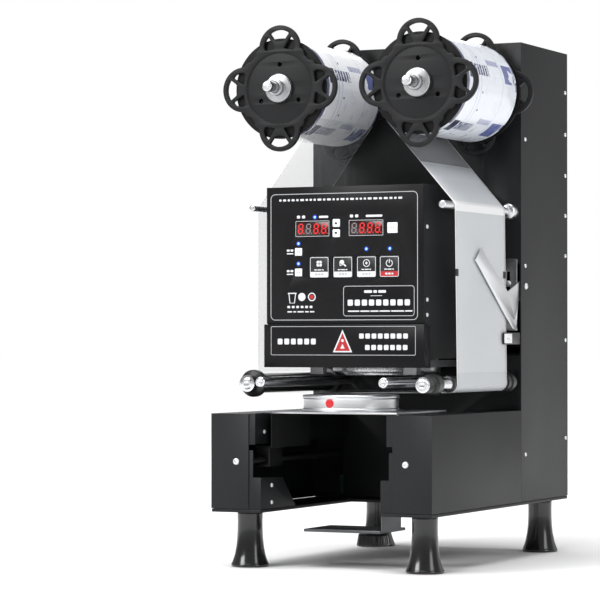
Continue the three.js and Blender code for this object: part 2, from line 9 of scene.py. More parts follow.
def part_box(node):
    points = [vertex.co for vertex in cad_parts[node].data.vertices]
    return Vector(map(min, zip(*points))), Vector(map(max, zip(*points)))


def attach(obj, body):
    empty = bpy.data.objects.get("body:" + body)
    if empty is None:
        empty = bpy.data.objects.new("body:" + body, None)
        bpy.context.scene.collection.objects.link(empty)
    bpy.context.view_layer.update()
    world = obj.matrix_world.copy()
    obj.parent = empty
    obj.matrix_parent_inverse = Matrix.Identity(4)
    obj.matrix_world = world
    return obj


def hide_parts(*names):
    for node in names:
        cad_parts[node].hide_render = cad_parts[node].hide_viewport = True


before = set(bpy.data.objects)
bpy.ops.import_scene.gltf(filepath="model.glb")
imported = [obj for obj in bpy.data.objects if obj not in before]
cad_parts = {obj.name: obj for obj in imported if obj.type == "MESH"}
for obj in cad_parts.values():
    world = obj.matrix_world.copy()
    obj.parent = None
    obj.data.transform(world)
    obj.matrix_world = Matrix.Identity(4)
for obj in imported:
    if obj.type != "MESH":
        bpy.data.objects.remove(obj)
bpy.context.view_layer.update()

scene = bpy.context.scene


# ---- camera, floor and light ----
# The machine stands on a plain pale floor in soft studio light. The camera is low and to its right,
# level with the underside of the head.
def aim(kind, name, place, way):
    """An object that looks along a direction."""
    seen = bpy.data.objects.new(name, kind)
    scene.collection.objects.link(seen)
    seen.location = place
    seen.rotation_euler = Vector(way).to_track_quat("-Z", "Y").to_euler()
    return seen


lens = bpy.data.cameras.new("camera")
lens.sensor_width = 36
lens.lens = 167.6
lens.clip_end = 60
pitch = math.radians(0.81)
heading = Vector((-0.436 * math.cos(pitch), 0.8999 * math.cos(pitch), math.sin(pitch)))
scene.camera = aim(lens, "camera", (1.2052, -2.7234, 0.2337), heading)

middle = Vector((0, 0, 0.3))
for name, place, size, power in [
    ("key_light", (-1.5, -2.6, 1.9), (1.4, 1.4), 62),
    ("side_light", (2.6, -0.9, 1.3), (1.0, 1.8), 20),
    ("edge_light", (2.0, 2.9, 0.9), (2.0, 2.2), 6),
    ("back_light", (-1.2, 2.3, 1.6), (1.4, 1.4), 12),
]:
    lamp = bpy.data.lights.new(name, "AREA")
    lamp.shape = "RECTANGLE"
    lamp.size, lamp.size_y = size
    lamp.energy = power
    aim(lamp, name, place, middle - Vector(place))

sky = bpy.data.lights.new("sky_light", "SUN")
sky.angle = math.radians(50)
sky.energy = 3.2
aim(sky, "sky_light", (0, 0, 4), (0.05, 0.22, -1))

world = bpy.data.worlds.new("studio")
world.use_nodes = True
backdrop = world.node_tree.nodes["Background"]
backdrop.inputs["Color"].default_value = (1, 1, 1, 1)
seen_rays = world.node_tree.nodes.new("ShaderNodeLightPath")
level = world.node_tree.nodes.new("ShaderNodeMapRange")
level.inputs["To Min"].default_value = 0.3
level.inputs["To Max"].default_value = 1.0
world.node_tree.links.new(seen_rays.outputs["Is Camera Ray"], level.inputs["Value"])
world.node_tree.links.new(level.outputs["Result"], backdrop.inputs["Strength"])
scene.world = world
scene.view_settings.view_transform = "Standard"

floor_mesh = bpy.data.meshes.new("floor")
reach = 30
corners = [(-reach, -reach, 0), (reach, -reach, 0), (reach, reach, 0), (-reach, reach, 0)]
floor_mesh.from_pydata(corners, [], [(0, 1, 2, 3)])
floor_white = bpy.data.materials.new("floor_white")
floor_white.use_nodes = True
matt = floor_white.node_tree.nodes["Principled BSDF"].inputs
matt["Base Color"].default_value = (0.80, 0.80, 0.80, 1)
matt["Roughness"].default_value = 1
matt["Specular IOR Level"].default_value = 0
floor_mesh.materials.append(floor_white)
floor = bpy.data.objects.new("floor", floor_mesh)
scene.collection.objects.link(floor)


# ---- powder-coated sheet bodies ----
# The base, the arms, the cabinet, the back cover and the head's cover are folded steel sheet with a fine
# black powder coat. Each is the CAD sheet with its cut edges eased as the coat leaves them.
class Term:
    """One output of a finish's nodes, so that sums on it are written as sums."""

    def __init__(self, look, socket):
        self.look = look
        self.socket = socket

    def math(self, operation, *terms):
        return self.look.node("ShaderNodeMath", {"operation": operation}, dict(enumerate(terms)))

    def __add__(self, other):
        return self.math("ADD", self, other)

    def __radd__(self, other):
        return self.math("ADD", other, self)

    def __sub__(self, other):
        return self.math("SUBTRACT", self, other)

    def __rsub__(self, other):
        return self.math("SUBTRACT", other, self)

    def __mul__(self, other):
        return self.math("MULTIPLY", self, other)

    def __rmul__(self, other):
        return self.math("MULTIPLY", other, self)

    def __lt__(self, other):
        return self.math("LESS_THAN", self, other)

    def __gt__(self, other):
        return self.math("GREATER_THAN", self, other)

    def between(self, low, high):
        return (self > low) * (self < high)

    def fraction(self):
        return self.math("FRACT", self)


class Look:
    """A surface finish: its nodes, and the shader that they feed."""

    def __init__(self, name):
        self.material = bpy.data.materials.new(name)
        self.material.use_nodes = True
        self.tree = self.material.node_tree
        self.shader = self.tree.nodes["Principled BSDF"]

    def node(self, kind, settings=None, values=None, give=0):
        """A new node, with its settings made first, and then its sockets set or linked."""
        made = self.tree.nodes.new(kind)
        for key, setting in (settings or {}).items():
            setattr(made, key, setting)
        for key, value in (values or {}).items():
            self.feed(made.inputs[key], value)
        return Term(self, made.outputs[give])

    def feed(self, socket, value):
        if isinstance(value, Term):
            self.tree.links.new(value.socket, socket)
        else:
            socket.default_value = value

    def place(self, move=(0, 0, 0), stretch=(1, 1, 1)):
        """Where a point is on the piece, from a centre and with each axis stretched."""
        own = self.node("ShaderNodeTexCoord", give="Object")
        return self.node("ShaderNodeMapping", None, {"Vector": own, "Location": move, "Scale": stretch})

    def axes(self, move=(0, 0, 0)):
        """The place on the piece as three numbers."""
        parted = self.node("ShaderNodeSeparateXYZ", None, {0: self.place(move)})
        outputs = parted.socket.node.outputs
        return [Term(self, outputs[n]) for n in range(3)]

    def noise(self, scale, detail=2, where=None, roughness=0.5):
        """Soft noise, from 0 to 1."""
        values = {"Vector": where or self.place(), "Scale": scale, "Detail": detail, "Roughness": roughness}
        return self.node("ShaderNodeTexNoise", None, values, give="Fac")

    def mix(self, share, first, second):
        """The first tone where the share is 0, and the second where it is 1."""
        tones = [tone if isinstance(tone, Term) else (*tone, 1) for tone in (first, second)]
        return self.node("ShaderNodeMix", {"data_type": "RGBA"}, {0: share, 6: tones[0], 7: tones[1]}, give=2)

    def bump(self, height, depth, strength=1):
        return self.node("ShaderNodeBump", None, {"Height": height, "Distance": depth, "Strength": strength})

    def surface(self, **sockets):
        """Feeds the shader's sockets by name."""
        for key, value in sockets.items():
            socket = self.shader.inputs[key.replace("_", " ").title().replace("Ior", "IOR")]
            self.feed(socket, (*value, 1) if isinstance(value, tuple) and len(value) == 3 else value)
        return self


def powder_coat(name, dark, light):
    """Fine-grained paint: close orange peel, slow change of shade, and a little dust."""
    look = Look(name)
    grain = look.noise(1500, 1)
    slow = look.noise(9, 3)
    tone = look.mix(slow, dark, light)
    return look.surface(
        base_color=look.mix((grain > 0.66) * 0.3, tone, (0.04, 0.042, 0.045)),
        roughness=0.36 + 0.14 * slow + 0.10 * grain,
        normal=look.bump(grain, 0.00012, 0.45),
    )


def keep(obj, body, slot, *nodes):
    """A finished piece joins a body and stands for its CAD nodes, which are hidden; its slot is not used."""
    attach(obj, body)
    if nodes:
        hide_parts(*nodes)
    return obj


def in_scene(name, data):
    """A new object in the scene, at the origin."""
    made = bpy.data.objects.new(name, data)
    scene.collection.objects.link(made)
    return made


def plain(obj, name):
    """The object's evaluated shape, as a mesh with no modifier."""
    bpy.context.view_layer.update()
    graph = bpy.context.evaluated_depsgraph_get()
    shape = obj.evaluated_get(graph)
    mesh = bpy.data.meshes.new_from_object(shape, preserve_all_data_layers=True, depsgraph=graph)
    bpy.data.objects.remove(obj)
    mesh.name = name
    return in_scene(name, mesh)


def eased_sheet(name, node, look, width=0.0005, segments=2):
    """A copy of a CAD solid with its flat faces whole and its edges rounded."""
    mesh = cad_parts[node].data.copy()
    mesh.materials.clear()
    mesh.materials.append(look.material)
    form = bmesh.new()
    form.from_mesh(mesh)
    for layer in list(form.loops.layers.uv):
        form.loops.layers.uv.remove(layer)
    bmesh.ops.remove_doubles(form, verts=form.verts, dist=2e-6)
    bmesh.ops.dissolve_limit(form, angle_limit=math.radians(1), verts=form.verts, edges=form.edges)
    form.to_mesh(mesh)
    form.free()
    mesh.shade_smooth()
    copy = in_scene(name + "_rough", mesh)
    bevel = copy.modifiers.new("ease", "BEVEL")
    bevel.width = width
    bevel.segments = segments
    bevel.limit_method = "ANGLE"
    bevel.angle_limit = math.radians(28)
    bevel.harden_normals = True
    return plain(copy, name)


coat = powder_coat("black_powder_coat", (0.0055, 0.0060, 0.0070), (0.0095, 0.0102, 0.0115))
coat.surface(specular_ior_level=0.3)
for name, node, width in [
    ("base_sheet", "base_plate", 0.0005),
    ("arm_left_sheet", "arm_casing_left", 0.0005),
    ("arm_right_sheet", "arm_casing_right", 0.0005),
    ("cabinet_sheet", "cabinet_shell", 0.0005),
    ("back_sheet", "rear_cover", 0.0004),
    ("head_sheet", "head_cover", 0.0005),
]:
    keep(eased_sheet(name, node, coat, width), "frame", "black_paint", node)


# ---- feet ----
# Four waisted feet of glossy black moulded rubber, each with a lip round its sole. The lathe and the
# moulded finish that they need are here too.
def eased(points, radius, closed=True, steps=4):
    """A line of points with its corners turned into short arcs."""
    count = len(points)
    smooth = []
    for n, point in enumerate(points):
        if not closed and n in (0, count - 1):
            smooth.append(tuple(point))
            continue
        here = Vector(point)
        before = Vector(points[n - 1]) - here
        after = Vector(points[(n + 1) % count]) - here
        back = min(radius, 0.45 * before.length, 0.45 * after.length)
        if back < 1e-7 or before.angle(after) > math.radians(172):
            smooth.append(tuple(point))
            continue
        start = here + before.normalized() * back
        end = here + after.normalized() * back
        for step in range(steps + 1):
            t = step / steps
            smooth.append(tuple(start * (1 - t) ** 2 + here * 2 * t * (1 - t) + end * t * t))
    return smooth


def faced_out(mesh):
    """Turns every face of a closed mesh outward."""
    form = bmesh.new()
    form.from_mesh(mesh)
    bmesh.ops.recalc_face_normals(form, faces=form.faces)
    form.to_mesh(mesh)
    form.free()


def turned(name, profile, centre, look, along="Y", sides=64, ease=0.0004, ring=False, shape=None, sharp=38):
    """A lathe-turned piece. Its profile is (radius, place on the axis), and a ring's closes on itself."""
    profile = eased(profile, ease, closed=ring) if ease else profile
    verts = []
    rows = []
    for radius, at in profile:
        if radius < 1e-6:
            rows.append([len(verts)] * sides)
            verts.append((0, 0, at))
            continue
        rows.append(list(range(len(verts), len(verts) + sides)))
        for n in range(sides):
            angle = 2 * math.pi * n / sides
            r = shape(radius, at, angle) if shape else radius
            verts.append((r * math.cos(angle), r * math.sin(angle), at))
    faces = []
    pairs = list(zip(rows, rows[1:])) + ([(rows[-1], rows[0])] if ring else [])
    for low, high in pairs:
        for n in range(sides):
            m = (n + 1) % sides
            corner = list(dict.fromkeys([low[n], low[m], high[m], high[n]]))
            if len(corner) > 2:
                faces.append(corner)
    mesh = bpy.data.meshes.new(name)
    mesh.from_pydata(verts, [], faces)
    turn = Matrix.Rotation(math.radians(90), 4, "X") if along == "Y" else Matrix.Identity(4)
    turn = Matrix.Rotation(math.radians(90), 4, "Y") if along == "X" else turn
    flip = Matrix.Diagonal((1, 1, -1, 1)) if along == "Y" else Matrix.Identity(4)
    mesh.transform(Matrix.Translation(centre) @ turn @ flip)
    faced_out(mesh)
    mesh.shade_smooth()
    mesh.set_sharp_from_angle(angle=math.radians(sharp))
    mesh.materials.append(look.material)
    return in_scene(name, mesh)


def middle_of(node):
    low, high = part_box(node)
    return (low + high) / 2


def moulded(name, tone, roughness, coat_weight=0.0, grain=2600):
    """Moulded plastic or rubber with a faint grain and handling marks."""
    look = Look(name)
    fine = look.noise(grain, 1)
    rub = look.noise(38, 4)
    return look.surface(
        base_color=look.mix(rub, tone, tuple(1.5 * v + 0.002 for v in tone)),
        roughness=roughness + 0.12 * rub + 0.03 * fine,
        coat_weight=coat_weight,
        coat_roughness=0.08,
        normal=look.bump(fine, 0.00004, 0.3),
    )


foot_gloss = moulded("foot_gloss_black", (0.005, 0.0052, 0.0058), 0.12, 0.4)
foot_profile = [
    (0, 0), (0.0186, 0), (0.0195, 0.0009), (0.0195, 0.0026), (0.0186, 0.0042), (0.0170, 0.0085),
    (0.0156, 0.0135), (0.0144, 0.0205), (0.0136, 0.0285), (0.0131, 0.0385), (0.0130, 0.0470),
    (0.0132, 0.0545), (0.0128, 0.0574), (0, 0.0574),
]
for place in ["front_left", "front_right", "rear_left", "rear_right"]:
    spot = middle_of("foot_" + place)
    foot = turned("foot_" + place + "_turned", foot_profile, (spot.x, spot.y, 0), foot_gloss, "Z", 72, 0.0006)
    keep(foot, "frame", "rubber", "foot_" + place)


# ---- control panel ----
# A satin black overlay on the head's front, with a printed border, two red displays behind dark windows,
# blue lamps, and keys. Printed marks are thin raised shapes of ink.
def overlay_finish(name):
    """Smooth printed film with faint smears."""
    look = Look(name)
    fine = look.noise(3200, 1)
    smear = look.noise(14, 4)
    return look.surface(
        base_color=look.mix(smear, (0.0048, 0.0048, 0.0055), (0.0105, 0.0105, 0.0115)),
        roughness=0.24 + 0.14 * smear,
        normal=look.bump(fine, 0.00002, 0.3),
    )


overlay = overlay_finish("panel_overlay_black")
overlay.surface(specular_ior_level=0.14)
keep(eased_sheet("panel_sheet", "control_panel", overlay, 0.0004), "frame", "panel_overlay", "control_panel")


class Ink:
    """Flat shapes on an upright face, (x, z) in mm, gathered into one thin closed mesh."""

    def __init__(self, front, rise=0.00009):
        self.front = front
        self.rise = rise
        self.verts = []
        self.faces = []

    def slab(self, loops, flats):
        """Adds a shape from its loops of points and the flat faces between them."""
        start = len(self.verts)
        flat = [point for loop in loops for point in loop]
        count = len(flat)
        for depth in (self.rise, 0):
            self.verts += [(x / 1000, self.front - depth, z / 1000) for x, z in flat]
        for face in flats:
            self.faces.append([start + n for n in face])
            self.faces.append([start + count + n for n in reversed(face)])
        first = 0
        for loop in loops:
            size = len(loop)
            for n in range(size):
                a, b = first + n, first + (n + 1) % size
                self.faces.append([start + b, start + a, start + count + a, start + count + b])
            first += size

    def patch(self, points):
        self.slab([points], [list(range(len(points)))])

    def band(self, outer, inner):
        size = len(outer)
        quads = [[n, (n + 1) % size, size + (n + 1) % size, size + n] for n in range(size)]
        self.slab([outer, inner], quads)

    def stroke(self, points, width):
        left, right = [], []
        for n, point in enumerate(points):
            ahead = Vector(points[min(n + 1, len(points) - 1)]) - Vector(points[max(n - 1, 0)])
            side = Vector((-ahead.y, ahead.x)).normalized() * width / 2
            left.append(tuple(Vector(point) + side))
            right.append(tuple(Vector(point) - side))
        size = len(points)
        last = 2 * size - 1
        self.slab([left + right[::-1]], [[n, n + 1, last - 1 - n, last - n] for n in range(size - 1)])

    def frame(self, x0, x1, z0, z1, radius, width):
        inner = rounded(x0 + width, x1 - width, z0 + width, z1 - width, max(radius - width, 0.05))
        self.band(rounded(x0, x1, z0, z1, radius), inner)

    def made(self, name, look):
        mesh = bpy.data.meshes.new(name)
        mesh.from_pydata(self.verts, [], self.faces)
        faced_out(mesh)
        mesh.materials.append(look.material)
        return in_scene(name, mesh)


def rounded(x0, x1, z0, z1, radius, steps=5):
    """Points round a rectangle with round corners."""
    points = []
    for cx, cz, start in [(x1 - radius, z1 - radius, 0), (x0 + radius, z1 - radius, 90),
                          (x0 + radius, z0 + radius, 180), (x1 - radius, z0 + radius, 270)]:
        for n in range(steps + 1):
            angle = math.radians(start + 90 * n / steps)
            points.append((cx + radius * math.cos(angle), cz + radius * math.sin(angle)))
    return points


def circle(x, z, radius, count=24, start=0.0, end=360.0):
    """Points round a circle, or round part of one."""
    whole = abs(end - start - 360) < 1e-6
    steps = count if whole else count - 1
    angles = [math.radians(start + (end - start) * n / steps) for n in range(count)]
    return [(x + radius * math.cos(a), z + radius * math.sin(a)) for a in angles]


def ink_finish(name, tone, roughness=0.45):
    """Printed ink or enamel, a little worn."""
    look = Look(name)
    grain = look.noise(2400, 2)
    worn = look.noise(160, 4)
    return look.surface(
        base_color=look.mix(worn * 0.5, tone, tuple(0.72 * v for v in tone)),
        roughness=roughness + 0.1 * grain,
        normal=look.bump(grain, 0.00001, 0.3),
    )


def lamp_finish(name, tone, glow, strength):
    """A lens that glows unevenly; the same finish gives the painted glow round each panel lamp."""
    look = Look(name)
    haze = look.noise(900, 2)
    return look.surface(
        base_color=look.mix(haze, tone, tuple(0.6 * v for v in tone)),
        roughness=0.25 + 0.1 * haze,
        emission_color=look.mix(haze * 0.4, glow, tuple(0.7 * v for v in glow)),
        emission_strength=strength,
    )


white_ink = ink_finish("white_ink", (0.72, 0.73, 0.75))
grey_ink = ink_finish("grey_ink", (0.44, 0.445, 0.46))
red_ink = ink_finish("red_ink", (0.46, 0.006, 0.012))
panel_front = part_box("control_panel")[0].y

lines = Ink(panel_front)
lines.frame(-83.9, 82.2, 253.4, 384.0, 5.2, 0.75)
lines.frame(-1.0, 78.5, 257.4, 288.5, 3.2, 0.7)
for x0, x1, z0, z1 in [(-54.9, -17.1, 339.9, 355.5), (5.7, 43.5, 339.9, 355.5)]:
    lines.frame(x0 - 0.3, x1 + 0.3, z0 - 0.3, z1 + 0.3, 0.8, 0.6)
keep(lines.made("panel_lines", grey_ink), "frame", "panel_overlay")

marks = Ink(panel_front)


def dashes(ink, x, z, widths, height=2.6, space=1.5):
    """A plain row of rounded bars where a line of print would be."""
    for width in widths:
        ink.patch(rounded(x, x + width, z, z + height, height * 0.3, 2))
        x += width + space


random.seed(31)
dashes(marks, -74, 376.4, [random.choice([2.6, 3.4, 4.4]) for _ in range(27)], 2.1, 1.9)
dashes(marks, -53.6, 358.4, [3.6, 3.6], 3.0, 2.2)
dashes(marks, -28.4, 358.6, [10.4], 2.2)
dashes(marks, 6.6, 358.4, [3.6, 3.6], 3.0, 2.2)
dashes(marks, 24.4, 358.6, [18.4], 2.2)
for z in (322.8, 301.6):
    dashes(marks, -65.2, z + 1.6, [3.2, 3.2], 2.2, 1.0)
    dashes(marks, -65.2, z - 1.2, [7.4], 1.2)


def cup_mark(ink, x, z, size):
    """A small outline of a cup with a lid line."""
    ink.stroke([(x - 0.40 * size, z + 0.5 * size), (x - 0.27 * size, z - 0.5 * size),
                (x + 0.27 * size, z - 0.5 * size), (x + 0.40 * size, z + 0.5 * size)], 0.10 * size)
    ink.stroke([(x - 0.52 * size, z + 0.56 * size), (x + 0.52 * size, z + 0.56 * size)], 0.12 * size)


cup_mark(marks, -59, 276, 9.5)
marks.patch(circle(-48.0, 277.5, 4.2, 28))
marks.band(circle(-36.6, 277.5, 4.4, 28), circle(-36.6, 277.5, 3.3, 28))
dashes(marks, -64.6, 266.0, [3.2, 3.2, 3.2, 3.2, 3.2, 3.2], 2.4, 1.9)
dashes(marks, -64.6, 261.6, [5.4, 3.2, 7.2, 4.0, 5.0], 1.3, 1.5)
dashes(marks, 22.5, 281.2, [9.0, 4.0, 8.6], 2.7, 1.4)
dashes(marks, 29.6, 278.0, [13.0], 0.5)
for n in range(9):
    marks.patch(rounded(4.0 + 7.95 * n, 9.9 + 7.95 * n, 268.2, 274.4, 1.2, 3))
dashes(marks, 4.2, 261.9, [13.0, 10.4, 9.0, 12.0, 14.6, 8.0], 1.4, 1.0)
keep(marks.made("panel_print", white_ink), "frame", "panel_overlay")

marks_red = Ink(panel_front)
marks_red.patch(circle(-36.6, 277.5, 2.3, 24))
keep(marks_red.made("panel_print_red", red_ink), "frame", "panel_overlay")

blue_lamp = lamp_finish("blue_lamp", (0.06, 0.12, 0.8), (0.10, 0.26, 1.0), 5.0)
# Round each blue lamp a faint blue disc glows on the overlay: a painted glow of the lamp's light, not a lamp
# of its own.
blue_painted_glow = lamp_finish("blue_painted_glow", (0.01, 0.02, 0.20), (0.02, 0.06, 0.55), 0.42)
lamps = [(-33.2, 359.5), (-51.9, 332.5), (-51.9, 311.8), (25.0, 326.1), (51.2, 326.1)]
for n, (x, z) in enumerate(lamps):
    dome = turned(f"panel_lamp_{n + 1}", [(0, -0.0007), (0.0006, -0.0006), (0.0011, -0.0003), (0.0013, 0)],
                  (x / 1000, panel_front, z / 1000), blue_lamp, "Y", 20, 0)
    keep(dome, "frame", "panel_overlay")
painted_glow = Ink(panel_front, 0.00004)
for x, z in lamps:
    painted_glow.patch(circle(x, z, 2.6, 28))
keep(painted_glow.made("panel_lamp_rings", blue_painted_glow), "frame", "panel_overlay")

# Each display shows four figures of seven bars and a point, leaning a little. Unlit figures are dull grey.
display_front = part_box("panel_board")[0].y
lit = Ink(display_front)
unlit = Ink(display_front)
bars = {
    "a": ((-1, 2), (1, 2)), "b": ((1, 2), (1, 0)), "c": ((1, 0), (1, -2)), "d": ((-1, -2), (1, -2)),
    "e": ((-1, 0), (-1, -2)), "f": ((-1, 2), (-1, 0)), "g": ((-1, 0), (1, 0)),
}


def figure(x, z, shown):
    """One figure: the bars named in it are lit, and the others are not."""
    half_wide, half_high, thick, lean = 2.25, 2.35, 1.25, 0.10
    for bar, ((x0, z0), (x1, z1)) in bars.items():
        start = Vector((x + x0 * half_wide, z + z0 * half_high))
        end = Vector((x + x1 * half_wide, z + z1 * half_high))
        way = (end - start).normalized()
        side = Vector((-way.y, way.x)) * thick / 2
        start += way * 0.28
        end -= way * 0.28
        tip = way * thick / 2
        points = [start, start + tip + side, end - tip + side, end, end - tip - side, start + tip - side]
        ink = lit if bar in shown else unlit
        ink.patch([(p.x + lean * (p.y - z), p.y) for p in points])


eight = "abcdefg"
for centre, text in [(-36.0, [eight, "", eight, eight]), (24.6, ["", eight, eight, eight])]:
    for n, shown in enumerate(text):
        x = centre + 8.8 * (n - 1.5)
        figure(x - 0.4, 347.7, shown)
        (lit if shown else unlit).patch(circle(x + 3.2, 342.9, 0.62, 12))
lit_red = lamp_finish("lit_red", (0.4, 0.006, 0.008), (1.0, 0.03, 0.03), 0.75)
keep(lit.made("display_figures_lit", lit_red), "frame", "board")
keep(unlit.made("display_figures_unlit", ink_finish("unlit_bar", (0.20, 0.19, 0.20))), "frame", "board")

window = Look("display_window")
window_haze = window.noise(700, 2)
window.surface(base_color=window.mix(window_haze, (0.02, 0.004, 0.004), (0.035, 0.008, 0.008)),
               roughness=0.12 + 0.1 * window_haze)
keep(eased_sheet("display_block", "panel_board", window, 0.0004), "frame", "board", "panel_board")

# Key caps: white squares for setting, black squares with a white foot and a small sign for each function.
cap_white = moulded("key_white", (0.70, 0.71, 0.73), 0.30)
cap_black = moulded("key_black", (0.006, 0.006, 0.0068), 0.22)


def sign_fan(ink, x, z):
    for n in range(4):
        angle = 90 * n + 45
        at = (x + 2.0 * math.cos(math.radians(angle)), z + 2.0 * math.sin(math.radians(angle)))
        ink.patch(circle(*at, 1.65, 16))
    ink.patch(circle(x, z, 1.0, 12))


def sign_hand(ink, x, z):
    ink.patch(circle(x - 1.0, z + 0.9, 2.7, 20))
    ink.stroke([(x + 0.6, z - 0.6), (x + 3.6, z - 3.0)], 1.5)
    ink.patch(rounded(x - 3.6, x - 1.4, z - 2.6, z - 0.2, 0.7, 3))


def sign_hold(ink, x, z):
    ink.band(circle(x, z, 3.9, 28), circle(x, z, 3.1, 28))
    ink.patch([(x, z + 1.7), (x - 1.5, z), (x, z - 1.7), (x + 1.5, z)])


def sign_power(ink, x, z):
    ink.stroke(circle(x, z - 0.3, 3.4, 22, 118, 422), 0.85)
    ink.stroke([(x, z - 0.2), (x, z + 4.0)], 0.9)


def sign_arrow(ink, x, z, way):
    ink.patch([(x - 1.9, z - 1.4 * way), (x + 1.9, z - 1.4 * way), (x, z + 1.9 * way)][::way])


black_ink = ink_finish("black_ink", (0.01, 0.01, 0.012))
for key, sign, foot_ink in [("feed", sign_fan, white_ink), ("seal", sign_hand, white_ink),
                            ("pause", sign_hold, white_ink), ("power", sign_power, red_ink)]:
    body = "key_" + key
    keep(eased_sheet(body + "_cap", body, cap_black, 0.0008, 3), body, "key_black", body)
    low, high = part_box(body)
    x0, x1, z0, z1 = [1000 * v for v in (low.x, high.x, low.z, high.z)]
    ink = Ink(low.y)
    sign(ink, (x0 + x1) / 2, z0 + 15.0)
    dashes(ink, (x0 + x1) / 2 - 5.6, z0 + 8.0, [3.0, 4.6, 2.0], 1.1, 0.6)
    ink.frame(x0 + 0.9, x1 - 0.9, z0 + 0.9, z1 - 0.9, 1.6, 0.55)
    keep(ink.made(body + "_sign", white_ink), body, "key_black")
    foot_print = Ink(low.y)
    foot_print.patch(rounded(x0 + 1.45, x1 - 1.45, z0 + 1.45, z0 + 6.6, 0.8, 3))
    keep(foot_print.made(body + "_foot", foot_ink), body, "key_black")
    words = Ink(low.y - 0.00009)
    dashes(words, (x0 + x1) / 2 - 4.6, z0 + 3.1, [2.6, 2.6, 2.0], 1.9, 0.9)
    keep(words.made(body + "_foot_mark", grey_ink if foot_ink is white_ink else white_ink), body, "key_black")
for key, way in [("up", 1), ("down", -1), ("reset", 0), ("mode_upper", 0), ("mode_lower", 0)]:
    body = "key_" + key
    keep(eased_sheet(body + "_cap", body, cap_white, 0.0009, 3), body, "key_white", body)
    low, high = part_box(body)
    x, z = 500 * (low.x + high.x), 500 * (low.z + high.z)
    ink = Ink(low.y)
    if way:
        sign_arrow(ink, x, z, way)
    else:
        dashes(ink, x - 2.0, z - 0.9, [1.6, 1.6], 1.8, 0.8)
    keep(ink.made(body + "_mark", black_ink if way else grey_ink), body, "key_white")


# ---- safety flap ----
# A bent satin black plate that hangs under the panel from pins in its side lugs, with a printed border,
# a triangle and plain bars.
keep(eased_sheet("flap_sheet", "safety_flap", overlay, 0.0005), "safety_flap", "panel_overlay", "safety_flap")
flap_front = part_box("safety_flap")[0].y
flap_lines = Ink(flap_front)
flap_lines.frame(-82.4, 80.8, 217.5, 247.3, 1.6, 0.6)
keep(flap_lines.made("flap_lines", grey_ink), "safety_flap", "panel_overlay")
flap_red = Ink(flap_front)
flap_red.patch([(-8.9, 222.2), (7.6, 222.2), (-0.7, 239.8)])
keep(flap_red.made("flap_triangle_red", red_ink), "safety_flap", "panel_overlay")
flap_white = Ink(flap_front)
flap_white.band([(-11.6, 220.6), (10.2, 220.6), (-0.7, 243.8)], [(-9.2, 222.0), (7.8, 222.0), (-0.7, 240.4)])
for n in range(6):
    flap_white.patch(rounded(-74.5 + 7.6 * n, -69.0 + 7.6 * n, 228.6, 234.6, 1.1, 3))
for n in range(8):
    flap_white.patch(rounded(18.0 + 7.0 * n, 23.2 + 7.0 * n, 234.6, 239.8, 1.0, 3))
for n in range(7):
    flap_white.patch(rounded(24.6 + 7.0 * n, 29.8 + 7.0 * n, 223.0, 228.2, 1.0, 3))
keep(flap_white.made("flap_print", white_ink), "safety_flap", "panel_overlay")
flap_core = Ink(flap_front - 0.00009)
flap_core.patch([(-3.2, 224.4), (1.8, 224.4), (-0.7, 229.2)])
flap_core.patch(circle(-0.7, 232.6, 1.5, 16))
keep(flap_core.made("flap_triangle_core", white_ink), "safety_flap", "panel_overlay")


# ---- film: spindles, flower discs, nuts and rolls ----
# Each roll sits between two moulded discs with four looped grips, on a plated spindle with a clamping nut.
# The discs are cut from one outline, with windows, and are dished round the hub.
def grained_metal(name, dark, light, roughness, stretch):
    """Bare metal with fine drawn lines: the stretch is small along the lines and large across them."""
    look = Look(name)
    lines = look.noise(1, 3, look.place(stretch=stretch), 0.65)
    haze = look.noise(24, 3)
    return look.surface(
        base_color=look.mix(lines, dark, light),
        metallic=1.0,
        roughness=roughness + 0.16 * lines + 0.08 * haze,
        normal=look.bump(lines, 0.00005, 0.35),
    )


plated = grained_metal("bright_plate", (0.68, 0.69, 0.71), (0.88, 0.89, 0.91), 0.12, (900, 30, 900))
turned_steel = grained_metal("turned_steel", (0.50, 0.51, 0.53), (0.80, 0.81, 0.83), 0.16, (300, 1600, 300))
disc_plastic = moulded("disc_black", (0.0075, 0.0078, 0.0085), 0.36, grain=1900)
disc_plastic.surface(specular_ior_level=0.2)
backing_plastic = moulded("disc_backing_black", (0.004, 0.004, 0.0045), 0.42, grain=1900)
backing_plastic.surface(specular_ior_level=0.15)
satin_nut = grained_metal("satin_nickel", (0.29, 0.295, 0.305), (0.46, 0.465, 0.48), 0.28, (300, 1600, 300))


def cut_shape(name, outlines, front, thick, look, bevel=0.0005):
    """A flat moulding: the first outline filled, the others left as holes, with rounded edges."""
    curve = bpy.data.curves.new(name, "CURVE")
    curve.dimensions = "2D"
    curve.fill_mode = "BOTH"
    curve.extrude = thick / 2 - bevel
    curve.bevel_depth = bevel
    curve.bevel_resolution = 2
    for points in outlines:
        spline = curve.splines.new("POLY")
        spline.points.add(len(points) - 1)
        for spot, (x, z) in zip(spline.points, points):
            spot.co = (x, z, 0, 1)
        spline.use_cyclic_u = True
    curve.offset = -bevel
    made = plain(in_scene(name + "_curve", curve), name)
    upright = Matrix.Rotation(math.radians(90), 4, "X")
    made.data.transform(Matrix.Translation((0, front + thick / 2, 0)) @ upright)
    form = bmesh.new()
    form.from_mesh(made.data)
    bmesh.ops.remove_doubles(form, verts=form.verts, dist=1e-6)
    bmesh.ops.recalc_face_normals(form, faces=form.faces)
    form.to_mesh(made.data)
    form.free()
    made.data.shade_smooth()
    made.data.set_sharp_from_angle(angle=math.radians(35))
    made.data.materials.clear()
    made.data.materials.append(look.material)
    return made


